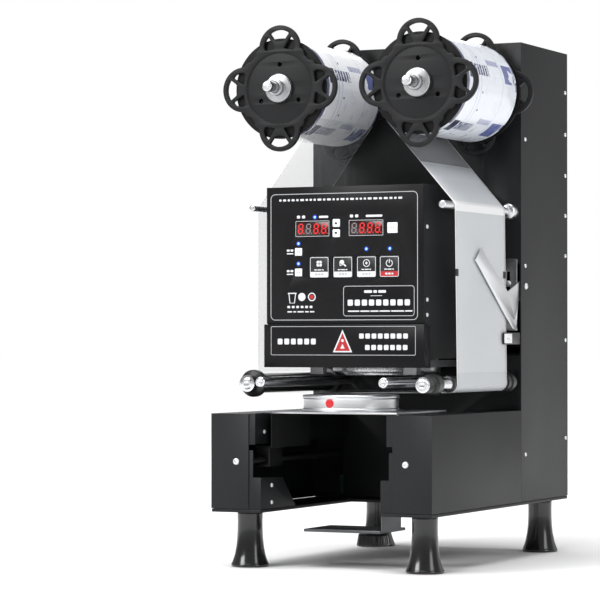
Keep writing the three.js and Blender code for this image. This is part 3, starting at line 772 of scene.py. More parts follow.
def joined(name, pieces):
    """Several meshes as one piece."""
    form = bmesh.new()
    finishes = []
    for obj in pieces:
        first = len(finishes)
        finishes += [slot.material for slot in obj.material_slots]
        before = len(form.faces)
        form.from_mesh(obj.data)
        form.faces.ensure_lookup_table()
        for face in form.faces[before:]:
            face.material_index += first
        bpy.data.objects.remove(obj)
    mesh = bpy.data.meshes.new(name)
    form.to_mesh(mesh)
    form.free()
    for finish in finishes:
        mesh.materials.append(finish)
    mesh.set_sharp_from_angle(angle=math.radians(35))
    return in_scene(name, mesh)


grip_centre, grip_radius = 0.0422, 0.0235


def flower_edge(count=288):
    """The discs' outer edge: four grips, two small scallops between them, and a round body."""
    rounds = [(0, 0, 0.044)]
    for n in range(4):
        angle = math.radians(90 * n)
        rounds.append((grip_centre * math.cos(angle), grip_centre * math.sin(angle), grip_radius))
        for side in (-1, 1):
            lean = angle + math.radians(45 + side * 12.6)
            rounds.append((0.0415 * math.cos(lean), 0.0415 * math.sin(lean), 0.0062))
    reach = []
    for n in range(count):
        angle = 2 * math.pi * n / count
        way = Vector((math.cos(angle), math.sin(angle)))
        far = 0
        for x, z, radius in rounds:
            along = way.x * x + way.y * z
            off = x * x + z * z - along * along
            if off < radius * radius:
                far = max(far, along + math.sqrt(radius * radius - off))
        reach.append(far)
    soft = [(reach[n - 1] + 2 * reach[n] + reach[(n + 1) % count]) / 4 for n in range(count)]
    return [(soft[n] * math.cos(2 * math.pi * n / count), soft[n] * math.sin(2 * math.pi * n / count))
            for n in range(count)]


def grip_windows():
    """In each grip, a half-moon at the tip and a triangle on each side of two struts."""
    found = []
    moon = [(grip_centre + 0.0186 * math.cos(math.radians(a)), 0.0186 * math.sin(math.radians(a)))
            for a in range(-36, 37, 6)]
    moon += [(0.0504, 0.0060), (0.0490, 0.0024), (0.0490, -0.0024), (0.0504, -0.0060)]
    side = [(0.0414, 0.0049), (0.0395, 0.0162), (0.0432, 0.0180), (0.0470, 0.0174), (0.0512, 0.0158),
            (0.0540, 0.0128)]
    for n in range(4):
        turn = Matrix.Rotation(math.radians(90 * n), 2)
        for shape in (moon, side, [(u, -v) for u, v in side][::-1]):
            found.append(eased([tuple(turn @ Vector(p)) for p in shape], 0.0012, True, 3))
    return found


def flower_disc(name, front, forward):
    """One disc with its backing plate and hub. A rear disc is the same moulding, turned to face its roll."""
    drill = [circle(0.025 * math.cos(a), 0.025 * math.sin(a), 0.0025, 20)
             for a in (math.pi / 2 + n * 2 * math.pi / 3 for n in range(3))]
    bore = circle(0, 0, 0.0059, 32)
    outlines = [flower_edge(), circle(0, 0, 0.0376, 96)] + grip_windows()
    grips = cut_shape(name + "_grips", outlines, 0, 0.0045, disc_plastic, 0.0007)
    outlines = [circle(0, 0, 0.0385, 96), bore] + drill
    dish = cut_shape(name + "_dish", outlines, 0.0012, 0.0032, disc_plastic, 0.0002)
    lip = turned(name + "_lip", [(0.0365, 0.0014), (0.0368, 0.0007), (0.0378, 0.0006), (0.0381, 0.0014)],
                 (0, 0, 0), disc_plastic, sides=96, ease=0.0002, ring=True)
    outlines = [circle(0, 0, 0.0523, 96), bore] + drill
    backing = cut_shape(name + "_backing", outlines, 0.0044, 0.0018, backing_plastic, 0.0004)
    hub = turned(name + "_hub", [(0.0059, 0.006), (0.0265, 0.006), (0.0265, 0.0165), (0.0059, 0.0165)],
                 (0, 0, 0), backing_plastic, sides=64, ring=True)
    disc = joined(name, [grips, dish, lip, backing, hub])
    turn = Matrix.Identity(4) if forward else Matrix.Rotation(math.pi, 4, "Z")
    disc.data.transform(Matrix.Translation((0, front, 0)) @ turn)
    return disc


def film_roll_finish(name, x, z, pale):
    """White film wound tight: glossy, with blue print, thin lines round it, the edge of each turn, and painted
    shade beside the discs.
    """
    look = Look(name)
    u, y, v = look.axes((-x, 0, -z))
    turn = look.node("ShaderNodeMath", {"operation": "ARCTAN2"}, {0: v, 1: u}) * (1 / (2 * math.pi)) + 0.5
    radius = look.node("ShaderNodeMath", {"operation": "SQRT"}, {0: u * u + v * v})
    wall = radius > 0.0508
    patch = look.noise(60, 3)
    cell = (turn * 5 + 0.52).fraction()
    block = y.between(-0.1085, -0.0935) * cell.between(0.10, 0.36)
    words = y.between(-0.0915, -0.0560) * cell.between(0.16, 0.34) * ((y * 150).fraction() > 0.34)
    words = words * (look.noise(420, 1) > 0.38)
    small = y.between(-0.0530, -0.0220) * cell.between(0.36, 0.46) * ((y * 240).fraction() > 0.42)
    rear = y.between(-0.014, 0.0125) * cell.between(0.10, 0.42) * (look.noise(70, 2) > 0.40)
    lines = y.between(-0.0868, -0.0858) + y.between(-0.0790, -0.0780) + y.between(-0.0206, -0.0197)
    dots = y.between(-0.0752, -0.0724) * ((turn * 17).fraction() < 0.12)
    # A dark, patchy navy band runs along each end of the wall, beside the discs: painted shade of the discs.
    edge = (y < -0.1110) * (look.noise(34, 2) > 0.36) + (y > 0.0145) * (look.noise(46, 2) > 0.5)
    white = look.mix(patch, pale, tuple(min(0.95, 1.14 * c) for c in pale))
    shaded = look.mix(wall * lines * 0.7, white, (0.26, 0.30, 0.52))
    inked = look.mix(wall * (small + rear) * 0.9, shaded, (0.055, 0.08, 0.30))
    inked = look.mix(wall * words * 0.97, inked, (0.012, 0.018, 0.10))
    inked = look.mix(wall * (block + dots), inked, (0.004, 0.006, 0.045))
    inked = look.mix(wall * edge * 0.9, inked, (0.008, 0.012, 0.09))
    winding = look.noise(1.0, 2, look.node("ShaderNodeCombineXYZ", None, {0: radius * 9000}))
    side = look.mix(winding, (0.48, 0.52, 0.62), (0.80, 0.82, 0.88))
    tight = look.noise(1.0, 2, look.node("ShaderNodeCombineXYZ", None, {0: y * 60, 1: turn * 26}))
    return look.surface(
        base_color=look.mix(wall, side, inked),
        roughness=0.20 + 0.18 * patch,
        coat_weight=wall * 0.35,
        normal=look.bump(tight, 0.0006, 0.16),
    )


def roll_shape(radius, at, angle):
    """The last turn of film ends in a small step."""
    return radius - (0.00035 * angle / (2 * math.pi) if radius > 0.05 else 0)


for side in ("supply", "takeup"):
    spot = middle_of(side + "_spindle")
    x, z = spot.x, spot.z
    low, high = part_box(side + "_spindle")
    rod = turned(side + "_spindle_turned", [
        (0, low.y), (0.0044, low.y), (0.0055, low.y + 0.0011), (0.0055, high.y), (0, high.y),
    ], (x, 0, z), turned_steel, sides=48)
    keep(rod, side, "chrome", side + "_spindle")
    for end, forward in (("front", True), ("rear", False)):
        low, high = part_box(f"{side}_{end}_disc")
        disc = flower_disc(f"{side}_{end}_flower", low.y if forward else high.y, forward)
        disc.data.transform(Matrix.Translation((x, 0, z)))
        keep(disc, side, "black_plastic", f"{side}_{end}_disc")
    low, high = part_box(side + "_film_roll")
    # The right-hand roll's film is given a darker, bluer white than the left's: painted shade.
    wound = film_roll_finish(side + "_film", x, z, (0.70, 0.73, 0.79) if x > 0 else (0.86, 0.88, 0.92))
    outer = [(0.0435, low.y + 0.0002), (0.0519, low.y), (0.0520, low.y + 0.0006), (0.0520, high.y - 0.0006),
             (0.0519, high.y), (0.0435, high.y - 0.0002), (0.0270, high.y), (0.0270, low.y)]
    roll = turned(side + "_roll_wound", outer, (x, 0, z), wound, sides=120, ease=0.0002, ring=True,
                  shape=roll_shape)
    keep(roll, side, "film_roll", side + "_film_roll")
    low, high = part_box(side + "_nut")
    nut_profile = [(0.0058, low.y), (0.0072, low.y), (0.0085, low.y + 0.0009), (0.0085, low.y + 0.0064),
                   (0.0140, low.y + 0.0072), (0.0150, low.y + 0.0082), (0.0150, high.y), (0.0058, high.y)]
    nut = turned(side + "_nut_turned", nut_profile, (x, 0, z), satin_nut, sides=96, ease=0.0004, ring=True,
                 shape=lambda r, at, a: r - (0.00025 * (round(a * 40 / math.pi) % 2) if r > 0.0149 else 0))
    keep(nut, side + "_nut", "chrome", side + "_nut")


# ---- film guides ----
# Two thin bars high on the cabinet, two plated rods under the head, and two rollers on the outside: the
# right one turns freely, and the left one has a rubber sleeve that draws the film through.
for place in ("left", "right"):
    low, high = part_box("upper_guide_bar_" + place)
    spot = (low + high) / 2
    r = 0.0040 if place == "right" else 0.0033
    bar = turned(f"upper_bar_{place}_turned", [
        (0, low.y), (r - 0.0012, low.y), (r, low.y + 0.0011), (r, 0.0358), (0.0070, 0.0365), (0.0083, 0.0378),
        (0.0083, high.y - 0.0006), (0.0078, high.y), (0, high.y),
    ], (spot.x, 0, spot.z), turned_steel, sides=48)
    keep(bar, "frame", "chrome", "upper_guide_bar_" + place)
    low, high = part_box("film_guide_rod_" + place)
    spot = (low + high) / 2
    rod = turned(f"film_rod_{place}_turned", [
        (0, low.y + 0.0006), (0.0020, low.y + 0.0006), (0.0024, low.y), (0.0044, low.y),
        (0.00525, low.y + 0.0009), (0.00525, high.y), (0, high.y),
    ], (spot.x, 0, spot.z), plated, sides=48, ease=0.0003)
    keep(rod, "frame", "chrome", "film_guide_rod_" + place)


def rubber_finish(name, tone, roughness, band, bright):
    """A roller's finishes along its length: bright metal at the stated places and black elsewhere."""
    look = Look(name)
    y = look.axes()[1]
    metal = (y < band[0]) + y.between(band[1], band[2]) if len(band) > 1 else (y < band[0])
    fine = look.noise(1300, 2)
    haze = look.noise(50, 3)
    return look.surface(
        base_color=look.mix(metal, look.mix(haze, tone, tuple(1.8 * t for t in tone)), bright),
        metallic=metal,
        roughness=roughness + 0.1 * haze - metal * (roughness - 0.1),
        normal=look.bump(fine, 0.00003, 0.3),
    )


def knurl(count, depth, low, high):
    """Fine straight grooves round a grip, between two places on the axis."""
    def shape(radius, at, angle):
        inside = low < at < high
        return radius - depth * (0.5 + 0.5 * math.cos(count * angle)) if inside else radius
    return shape


for node, body, profile, grooves, metal in [
    ("guide_roller", "guide_roller", [
        (0, 0.0006), (0.0030, 0.0003), (0.0052, 0.0001), (0.0063, 0.0008), (0.0063, 0.0017),
        (0.0082, 0.0018), (0.0086, 0.0022), (0.0086, 0.0085), (0.0086, 0.0150), (0.0098, 0.0165),
        (0.0110, 0.0205), (0.0110, 0.0315), (0.0100, 0.0320), (0.0065, 0.0322), (0.0065, 0.0647),
        (0.0082, 0.0649), (0.0082, 0.2105), (0.0095, 0.2106), (0.0095, 0.2195), (0.0110, 0.2197),
        (0.0110, 0.2283), (0.0040, 0.2285), (0.0040, 0.2485), (0, 0.2485),
    ], knurl(36, 0.0005, -0.1860, -0.1690), (-0.1847, -0.1546, -0.1219)),
    ("drive_roller", "drive_roller", [
        (0, 0.0005), (0.0030, 0.0002), (0.0050, 0.0001), (0.0060, 0.0007), (0.0060, 0.0017),
        (0.0086, 0.0018), (0.0088, 0.0022), (0.0088, 0.0105), (0.0126, 0.0125), (0.0140, 0.0150),
        (0.0140, 0.0210), (0.0102, 0.0220), (0.0100, 0.0222), (0.0100, 0.1945), (0.0132, 0.1951),
        (0.0140, 0.1965), (0.0140, 0.2075), (0.0040, 0.2085), (0.0040, 0.2285), (0, 0.2285),
    ], knurl(30, 0.0003, -0.1640, -0.1570), (-0.1647,)),
]:
    low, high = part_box(node)
    spot = (low + high) / 2
    line = [(r, low.y + at) for r, at in profile]
    look = rubber_finish(node + "_finish", (0.007, 0.007, 0.0075), 0.28, metal, (0.74, 0.75, 0.77))
    roller = turned(node + "_turned", line, (spot.x, 0, spot.z), look, sides=144, ease=0.0003, shape=grooves)
    keep(roller, body, "rubber", node)
    # The clamping screw in the roller's end has a hexagon socket.
    outlines = [circle(0, 0, 0.0044, 40), circle(0, 0, 0.0026, 6)]
    socket = cut_shape(node + "_socket", outlines, low.y - 0.00005, 0.0008, plated, 0.0002)
    socket.data.transform(Matrix.Translation((spot.x, 0, spot.z)))
    keep(socket, body, "chrome")


# ---- film web ----
# One strip of clear film runs from roll to roll, tangent to each bar and roller that it bends
# round. It is whitish, with brighter edges, and has a black eye mark at each edge for the photo-eye.
# Much of the film's whiteness is painted sheen, set out in its finish below.
def stop(node, radius, turn):
    """Where the strip bends: the middle of a node, the strip's radius there, and which way it bends."""
    spot = middle_of(node)
    return spot.x, spot.z, radius, turn


def film_path():
    """Points along the middle of the strip."""
    slack = 0.0005
    stops = [
        stop("supply_spindle", 0.052 + slack, 1), stop("upper_guide_bar_right", 0.0040 + slack, -1),
        stop("guide_roller", 0.0082 + slack, -1), stop("drive_roller", 0.0100 + slack, -1),
        stop("upper_guide_bar_left", 0.0033 + slack, -1), stop("takeup_spindle", 0.052 + slack, 1),
    ]
    way = []
    for (x0, z0, r0, t0), (x1, z1, r1, t1) in zip(stops, stops[1:]):
        lean = math.asin((t0 * r0 - t1 * r1) / math.hypot(x1 - x0, z1 - z0))
        way.append(math.atan2(z1 - z0, x1 - x0) + lean)
    points = []
    for n, (x, z, r, t) in enumerate(stops):
        first = way[max(n - 1, 0)]
        last = way[min(n, len(way) - 1)]
        if 0 < n < len(stops) - 1:
            while last > first:
                last -= 2 * math.pi
            bends = 14
        else:
            first = last = way[0] if n == 0 else way[-1]
            bends = 0
        for k in range(bends + 1):
            angle = first + (last - first) * (k / bends if bends else 0)
            points.append(Vector((x + t * r * math.sin(angle), z - t * r * math.cos(angle))))
    fine = [points[0]]
    for point in points[1:]:
        gap = (point - fine[-1]).length
        parts = max(1, round(gap / 0.012))
        start = fine[-1]
        fine += [start.lerp(point, k / parts) for k in range(1, parts + 1)]
    return fine


film = Look("film_clear_printed")
fx, fy, fz = film.axes()
cloudy = film.noise(11, 3)
crease = film.noise(1.0, 2, film.place(stretch=(14, 5, 60)))
film_edge = (fy < -0.1163) + (fy > 0.0173)
right = fx > 0
eye_mark = fz.between(0.2978, 0.3052) * ((fy < -0.1098) + (fy > 0.0108)) * right
# A band of the right-hand run where it bends is painted whiter and more opaque: a painted highlight.
bend_highlight = fz.between(0.3640, 0.3745) * (fx > 0.1)
# Higher up the right-hand run the painted sheen fades out, so the film there is as clear as on the left.
fade = film.node("ShaderNodeMapRange", {"clamp": True}, {0: fz + 0.006 * cloudy, 1: 0.402, 2: 0.415})
sheen_fade = fade * right
# Between the band and that fade the run is made more opaque, and so whiter: painted sheen.
slope_sheen = fz.between(0.3745, 0.415) * right
shade_below_heads = fz < 0.2000
milky = film.mix(cloudy, (0.74, 0.77, 0.80), (0.88, 0.90, 0.92))
clear_white = film.mix(film_edge + bend_highlight, milky, (0.95, 0.96, 0.97))
# The right-hand run is made more opaque, and so whiter, than the left: painted sheen; below the heads the film
# is made a little clearer: painted shade.
cover = right * 0.44 + 0.12 + 0.20 * slope_sheen - 0.44 * sheen_fade - 0.06 * shade_below_heads
film.surface(
    base_color=film.mix(eye_mark, clear_white, (0.01, 0.01, 0.012)),
    roughness=0.26 + 0.12 * cloudy,
    alpha=cover + 0.2 * film_edge + 0.22 * bend_highlight + 0.6 * eye_mark,
    normal=film.bump(crease, 0.0012, 0.22),
)
film_low, film_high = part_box("film_web")
path = film_path()
across = 22
strip_verts = []
for point in path:
    for k in range(across + 1):
        strip_verts.append((point.x, film_low.y + (film_high.y - film_low.y) * k / across, point.y))
row = across + 1
strip_faces = [[n * row + k, n * row + k + 1, (n + 1) * row + k + 1, (n + 1) * row + k]
               for n in range(len(path) - 1) for k in range(across)]
strip_mesh = bpy.data.meshes.new("film_strip")
strip_mesh.from_pydata(strip_verts, [], strip_faces)
strip_mesh.shade_smooth()
strip_mesh.materials.append(film.material)
strip_object = in_scene("film_strip_flat", strip_mesh)
thick = strip_object.modifiers.new("film", "SOLIDIFY")
thick.thickness = 0.0002
thick.offset = 0
keep(plain(strip_object, "film_strip"), "frame", "film", "film_web")


# ---- tray, cup ring, shelf and knob ----
# A brushed steel tray with black side plates runs on two rods inside the arms. It carries a turned aluminium
# ring with a red dot, and a dark shelf of bent steel below it, clamped by a fluted black screw knob.
steel_dark, steel_light = (0.46, 0.465, 0.48), (0.72, 0.73, 0.75)
across_sheet = (40, 1500, 1500)
brushed = grained_metal("brushed_sheet_steel", steel_dark, steel_light, 0.24, across_sheet)
dull_steel = grained_metal("blackened_steel", (0.05, 0.052, 0.056), (0.12, 0.122, 0.128), 0.30, (60, 900, 60))
ring_metal = grained_metal("turned_aluminium", (0.62, 0.63, 0.65), (0.84, 0.85, 0.87), 0.20, (60, 60, 2400))
tray_look = Look("tray_steel_with_black_sides")
tray_x, _, tray_z = tray_look.axes()
painted = (tray_x.math("ABSOLUTE", tray_x) > 0.0733) * (tray_z < 0.1583)
tray_lines = tray_look.noise(1.0, 3, tray_look.place(stretch=across_sheet), 0.65)
bare = tray_look.mix(tray_lines, steel_dark, steel_light)
tray_look.surface(
    base_color=tray_look.mix(painted, bare, (0.011, 0.0115, 0.0125)),
    metallic=1 - painted,
    roughness=0.26 + 0.14 * tray_lines + 0.14 * painted,
    normal=tray_look.bump(tray_lines, 0.00004, 0.35),
)
keep(eased_sheet("tray_sheet", "tray_plate", tray_look, 0.0003), "tray", "sheet_steel", "tray_plate")
low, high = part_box("cup_ring")
spot = (low + high) / 2
r = high.x - spot.x
ring_profile = [
    (r - 0.0045, low.z), (r, low.z), (r, low.z + 0.0023), (r - 0.0011, low.z + 0.0031),
    (r - 0.0012, high.z - 0.0040), (r, high.z - 0.0032), (r, high.z - 0.0011), (r - 0.0010, high.z),
    (r - 0.0037, high.z), (r - 0.0045, high.z - 0.0012),
]
ring = turned("cup_ring_turned", ring_profile, (spot.x, spot.y, 0), ring_metal, "Z", 144, 0.0004, ring=True)
keep(ring, "tray", "aluminium", "cup_ring")
dot_angle = math.radians(-92)
dot_profile = [(0, 0.0006), (0.0034, 0.0005), (0.0045, 0.0002), (0.0049, -0.0010), (0, -0.0010)]
dot_red = ink_finish("dot_red", (0.62, 0.012, 0.02), 0.25)
dot = turned("ring_dot", dot_profile, (0, 0, 0), dot_red, "X", 32, 0)
on_ring = Matrix.Rotation(dot_angle, 4, "Z") @ Matrix.Translation((r - 0.0012, 0, 0))
dot.data.transform(Matrix.Translation((spot.x, spot.y, low.z + 0.0083)) @ on_ring)
keep(dot, "tray", "aluminium")
shelf_steel = grained_metal("shelf_dark_steel", (0.075, 0.077, 0.082), (0.15, 0.153, 0.16), 0.30, across_sheet)
keep(eased_sheet("shelf_sheet", "cup_shelf", shelf_steel, 0.0004), "shelf", "sheet_steel", "cup_shelf")
low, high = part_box("shelf_knob")
spot = (low + high) / 2
knob_profile = [
    (0, low.z), (0.0150, low.z), (0.0169, low.z + 0.0012), (0.0166, low.z + 0.0032), (0.0152, low.z + 0.0115),
    (0.0144, low.z + 0.0130), (0.0045, low.z + 0.0130), (0.0045, high.z), (0, high.z),
]
knob = turned("shelf_knob_fluted", knob_profile, (spot.x, spot.y, 0), foot_gloss, "Z", 144, 0.0006,
              shape=lambda r, at, a: r - (0.0007 * max(0, math.cos(18 * a)) if r > 0.0140 else 0))
keep(knob, "shelf_knob", "black_plastic", "shelf_knob")
for place in ("left", "right"):
    low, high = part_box("tray_rail_" + place)
    spot = (low + high) / 2
    rail = turned(f"tray_rail_{place}_ground", [
        (0, low.y), (0.0036, low.y), (0.0040, low.y + 0.0004), (0.0040, high.y - 0.0004), (0.0036, high.y),
        (0, high.y),
    ], (spot.x, 0, spot.z), dull_steel, sides=40)
    keep(rail, "frame", "chrome", "tray_rail_" + place)


# ---- works inside ----
# The press, its motor and crank, the tray's motor and pinion, the take-up motor and the power supply are
# hidden by the covers, and are seen only from below and through the louvres.
def dressed(node, look):
    """Gives a finish to a CAD solid whose shape stays as it is."""
    mesh_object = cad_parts[node]
    if not mesh_object.material_slots:
        mesh_object.data.materials.append(None)
    for holder in mesh_object.material_slots:
        holder.material = look.material


cast = grained_metal("zinc_plated_frame", (0.30, 0.30, 0.31), (0.48, 0.48, 0.49), 0.36, (120, 120, 120))
motor_paint = powder_coat("motor_grey_paint", (0.10, 0.105, 0.11), (0.15, 0.155, 0.16))
board_green = moulded("circuit_board_green", (0.01, 0.06, 0.022), 0.30, 0.3)
for node in ("head_frame", "press_carriage", "press_crank", "tray_pinion"):
    dressed(node, cast)
for node in ("press_motor", "tray_motor", "takeup_motor"):
    dressed(node, motor_paint)
dressed("power_supply", board_green)
low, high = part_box("cutter_ring")
spot = (low + high) / 2
r = high.x - spot.x
cutter_profile = [
    (0.0490, low.z + 0.0012), (0.0496, low.z), (0.0500, low.z + 0.0012), (r - 0.001, low.z + 0.0014),
    (r, low.z + 0.0024), (r, high.z), (0.0490, high.z),
]
press_axis = (spot.x, spot.y, 0)
cutter = turned("cutter_ring_turned", cutter_profile, press_axis, turned_steel, "Z", 120, 0.0002, ring=True)
keep(cutter, "press", "chrome", "cutter_ring")
low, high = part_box("hot_plate")
hot_profile = [
    (0, low.z + 0.0010), (0.0330, low.z + 0.0010), (0.0345, low.z), (0.0440, low.z), (0.0450, low.z + 0.0008),
    (0.0450, high.z), (0, high.z),
]
hot = turned("hot_plate_turned", hot_profile, press_axis, turned_steel, "Z", 120, 0.0003)
keep(hot, "press", "sheet_steel", "hot_plate")


# ---- photo-eye, bracket and lever ----
# A slotted steel bracket on the cabinet holds a black forked photo-eye with a bright guard plate, and a
# bent steel lever that feels the film.
bracket = eased_sheet("bracket_sheet", "sensor_bracket", brushed, 0.0003)
keep(bracket, "sensor", "sheet_steel", "sensor_bracket")
any_way = (900, 900, 900)
bright_sheet = grained_metal(
    "bright_sheet_steel", (0.66, 0.67, 0.69), (0.82, 0.83, 0.85), 0.20, (1500, 1500, 220))
guard_steel = grained_metal("guard_plate_nickel", (0.80, 0.81, 0.83), (0.90, 0.91, 0.93), 0.24, any_way)
guard_steel.surface(metallic=0.4)
lever = eased_sheet("lever_sheet", "film_lever", bright_sheet, 0.0002)
keep(lever, "film_lever", "sheet_steel", "film_lever")
keep(eased_sheet("eye_housing", "photo_eye", cap_black, 0.0006, 3), "sensor", "black_plastic", "photo_eye")
# A plated guard plate with two small holes is riveted on the outer finger's right side.
low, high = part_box("photo_eye")
z0, z1, hole_z = low.z + 0.0013, high.z - 0.0012, (low.z + high.z) / 2
guard_edge = eased([(0.0121, z0), (0.0330, z0), (0.0330, z1), (0.0121, z1)], 0.0008, True, 3)
guard_holes = [circle(0.0205, hole_z, 0.0009, 20), circle(0.0245, hole_z - 0.0004, 0.0009, 20)]
guard = cut_shape("eye_guard", [guard_edge] + guard_holes, 0, 0.0006, guard_steel, 0.0001)
quarter_turn = Matrix.Rotation(math.radians(90), 4, "Z")
guard.data.transform(Matrix.Translation((high.x + 0.0003, low.y - 0.0120, 0)) @ quarter_turn)
keep(guard, "sensor", "black_plastic")


# ---- back: mains socket, rocker and louvres ----
# A moulded socket with three pins, a plain rocker switch, and four groups of pressed louvres. The layout
# that repeats the louvres sets out the screws as well.
socket = eased_sheet("socket_moulding", "power_inlet", cap_black, 0.0006)
keep(socket, "frame", "black_plastic", "power_inlet")
low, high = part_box("power_inlet")
spot = (low + high) / 2
for n, (dx, dz) in enumerate([(-0.007, -0.002), (0, 0.0025), (0.007, -0.002)]):
    pin = turned(f"socket_pin_{n + 1}", [
        (0, 0.1735), (0.0010, 0.1735), (0.0010, 0.1870), (0.0006, 0.1880), (0, 0.1880),
    ], (spot.x + dx, 0, spot.z + dz), plated, sides=16, ease=0.0002)
    keep(pin, "frame", "black_plastic")
rocker = eased_sheet("rocker_moulding", "power_rocker", cap_black, 0.0006)
keep(rocker, "power_rocker", "black_plastic", "power_rocker")


def set_out(name, unit, finish, spots):
    """Copies of one small shape, one at each spot, turned to face its way and spun by its own amount."""
    points = bpy.data.meshes.new(name)
    points.from_pydata([tuple(place) for place, _, _ in spots], [], [])
    facing = points.attributes.new("facing", "FLOAT_VECTOR", "POINT")
    spin = points.attributes.new("spin", "FLOAT_VECTOR", "POINT")
    for n, (_, way, turn) in enumerate(spots):
        facing.data[n].vector = way
        spin.data[n].vector = (0, 0, turn)
    carrier = in_scene(name + "_spots", points)
    tree = bpy.data.node_groups.new(name + "_layout", "GeometryNodeTree")
    face = tree.interface
    face.new_socket("Spots", in_out="INPUT", socket_type="NodeSocketGeometry")
    unit_socket = face.new_socket("Unit", in_out="INPUT", socket_type="NodeSocketObject")
    finish_socket = face.new_socket("Finish", in_out="INPUT", socket_type="NodeSocketMaterial")
    face.new_socket("Result", in_out="OUTPUT", socket_type="NodeSocketGeometry")
    new, link = tree.nodes.new, tree.links.new
    given, result = new("NodeGroupInput"), new("NodeGroupOutput")
    named = {}
    for key in ("facing", "spin"):
        named[key] = new("GeometryNodeInputNamedAttribute")
        named[key].data_type = "FLOAT_VECTOR"
        named[key].inputs["Name"].default_value = key
    spun = new("FunctionNodeEulerToRotation")
    link(named["spin"].outputs["Attribute"], spun.inputs[0])
    aligned = new("FunctionNodeAlignRotationToVector")
    aligned.axis = "Z"
    link(spun.outputs[0], aligned.inputs["Rotation"])
    link(named["facing"].outputs["Attribute"], aligned.inputs["Vector"])
    source = new("GeometryNodeObjectInfo")
    link(given.outputs["Unit"], source.inputs["Object"])
    copies = new("GeometryNodeInstanceOnPoints")
    link(given.outputs["Spots"], copies.inputs["Points"])
    link(source.outputs["Geometry"], copies.inputs["Instance"])
    link(aligned.outputs["Rotation"], copies.inputs["Rotation"])
    real = new("GeometryNodeRealizeInstances")
    link(copies.outputs[0], real.inputs[0])
    dress = new("GeometryNodeSetMaterial")
    link(real.outputs[0], dress.inputs["Geometry"])
    link(given.outputs["Finish"], dress.inputs["Material"])
    link(dress.outputs[0], result.inputs[0])
    layout = carrier.modifiers.new("layout", "NODES")
    layout.node_group = tree
    layout[unit_socket.identifier] = unit
    layout[finish_socket.identifier] = finish.material
    made = plain(carrier, name)
    made.data.set_sharp_from_angle(angle=math.radians(35))
    return made


def louvre_hood(width, height, rise):
    """One pressed louvre, a half-round hood closed at its ends and open below."""
    form = bmesh.new()
    rows = []
    for k in range(9):
        angle = math.pi / 2 * k / 8
        half = width / 2 * (1 - 0.04 * math.sin(angle))
        rows.append([form.verts.new((s * half, height * math.cos(angle), rise * math.sin(angle)))
                     for s in (-1, -0.9, 0, 0.9, 1)])
    for a, b in zip(rows, rows[1:]):
        for n in range(4):
            form.faces.new([a[n], a[n + 1], b[n + 1], b[n]])
    mesh = bpy.data.meshes.new("louvre_hood")
    form.to_mesh(mesh)
    form.free()
    mesh.shade_smooth()
    hood = in_scene("louvre_hood", mesh)
    wall = hood.modifiers.new("wall", "SOLIDIFY")
    wall.thickness = 0.0008
    wall.offset = -1
    return plain(hood, "louvre_hood_unit")


back_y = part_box("rear_cover")[1].y
hood = louvre_hood(0.074, 0.0052, 0.0024)
spacing = 0.012
louvres = [((x, back_y, first + spacing * row), (0, 1, 0), math.pi)
           for x in (-0.062, 0.062) for first in (0.430, 0.190) for row in range(5)]
keep(set_out("back_louvres", hood, coat, louvres), "frame", "black_paint")
bpy.data.objects.remove(hood)


# ---- screws ----
# Plated pan-head screws with cross recesses hold the covers, the arms, the bracket and the tray. A head of
# each size is turned and its cross cut, then set out wherever one is fitted, stopped at its own angle.
def screw_head(radius, height):
    """One head with its cross cut, standing on the floor of the scene."""
    head = turned("screw_head", [(0, height), (0.45 * radius, 0.96 * height), (0.82 * radius, 0.68 * height),
                                 (radius, 0.18 * height), (radius, -0.0006), (0, -0.0006)],
                  (0, 0, 0), turned_steel, "Z", 28, 0.0002)
    arm, width = 0.56 * radius, 0.15 * radius
    cross = [(arm, width), (width, width), (width, arm), (-width, arm), (-width, width), (-arm, width),
             (-arm, -width), (-width, -width), (-width, -arm), (width, -arm), (width, -width), (arm, -width)]
    count = len(cross)
    verts = [(x, y, 0.25 * height) for x, y in cross] + [(x, y, 1.3 * height) for x, y in cross]
    faces = [list(range(count))[::-1], [count + n for n in range(count)]]
    faces += [[n, (n + 1) % count, count + (n + 1) % count, count + n] for n in range(count)]
    mesh = bpy.data.meshes.new("screw_cross")
    mesh.from_pydata(verts, [], faces)
    cutter = in_scene("screw_cross", mesh)
    cut = head.modifiers.new("cross", "BOOLEAN")
    cut.object = cutter
    cut.operation = "DIFFERENCE"
    made = plain(head, "screw_head_unit")
    bpy.data.objects.remove(cutter)
    return made


zinc = grained_metal("zinc_plated_screw", (0.80, 0.81, 0.83), (0.92, 0.93, 0.95), 0.22, any_way)
zinc.surface(metallic=0.55)
random.seed(7)


def fitted(place, way):
    """A screw's place, the way that its head faces, and the angle where it stopped."""
    return Vector(place), Vector(way), random.uniform(0, math.pi)


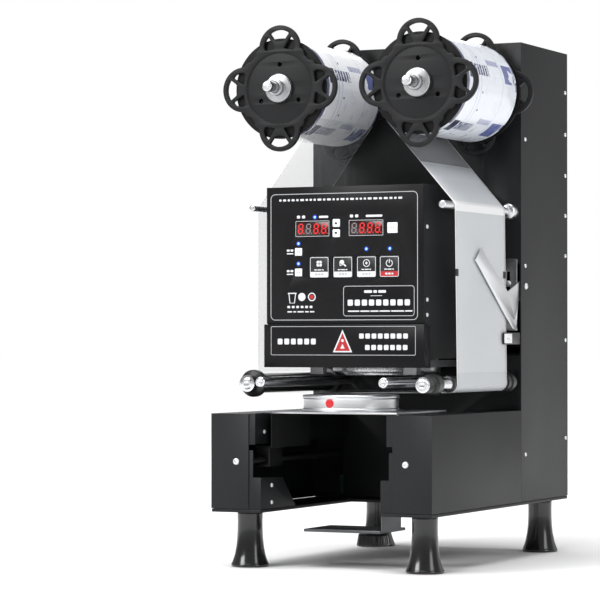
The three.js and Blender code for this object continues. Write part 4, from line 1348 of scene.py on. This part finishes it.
side_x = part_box("cabinet_shell")[1].x
head_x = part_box("head_cover")[1].x
arm_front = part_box("arm_casing_left")[0].y
gusset_x, arm_x, back_x, lid_x, base_x = 0.0665, 0.080, 0.114, 0.070, 0.110
head_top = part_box("head_cover")[1].z
base_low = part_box("base_plate")[0].z
small_spots = []
for way in (1, -1):
    for x, depths, heights, facing in [
        (side_x, [0.0625], [0.4473, 0.3123, 0.1111], (way, 0, 0)),
        (head_x, [-0.1235], [0.348, 0.274, 0.2585], (way, 0, 0)),
        (side_x, [0.1840], [0.5066, 0.4601, 0.4147, 0.3704, 0.3261, 0.2331, 0.1250], (way, 0, 0)),
        (-gusset_x, [-0.1651], [0.0849, 0.0675], (way, 0, 0)),
        (-arm_x, [-0.155, -0.081], [0.139], (way, 0, 0)),
        (back_x, [back_y], [0.080, 0.160, 0.310, 0.410, 0.530], (0, 1, 0)),
        (lid_x, [-0.060, 0.030], [head_top], (0, 0, 1)),
        (base_x, [-0.110, 0.000, 0.100], [base_low], (0, 0, -1)),
    ]:
        small_spots += [fitted((way * x, y, z), facing) for y in depths for z in heights]
socket_x, socket_y = middle_of("power_inlet").x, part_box("power_inlet")[1].y
for dx in (-0.0166, 0.0166):
    small_spots.append(fitted((socket_x + dx, socket_y, 0.086), (0, 1, 0)))
large_spots = [fitted((way * 0.094, arm_front, 0.1095), (0, -1, 0)) for way in (1, -1)]
large_spots += [fitted((way * side_x, 0.0640, 0.2906), (way, 0, 0)) for way in (1, -1)]
large_spots.append(fitted((0.1089, 0.0474, 0.2930), (0, -1, 0)))
tray_side, tray_screw_z = 0.0745, 0.1415
tray_spots = [fitted((way * tray_side, y, tray_screw_z), (way, 0, 0))
              for way in (1, -1) for y in (-0.140, -0.070)]
for name, body, radius, height, spots in [
    ("screws_small", "frame", 0.0022, 0.0014, small_spots),
    ("screws_large", "frame", 0.0034, 0.0021, large_spots),
    ("screws_tray", "tray", 0.0030, 0.0018, tray_spots),
]:
    unit = screw_head(radius, height)
    keep(set_out(name, unit, zinc, spots), body, "chrome")
    bpy.data.objects.remove(unit)
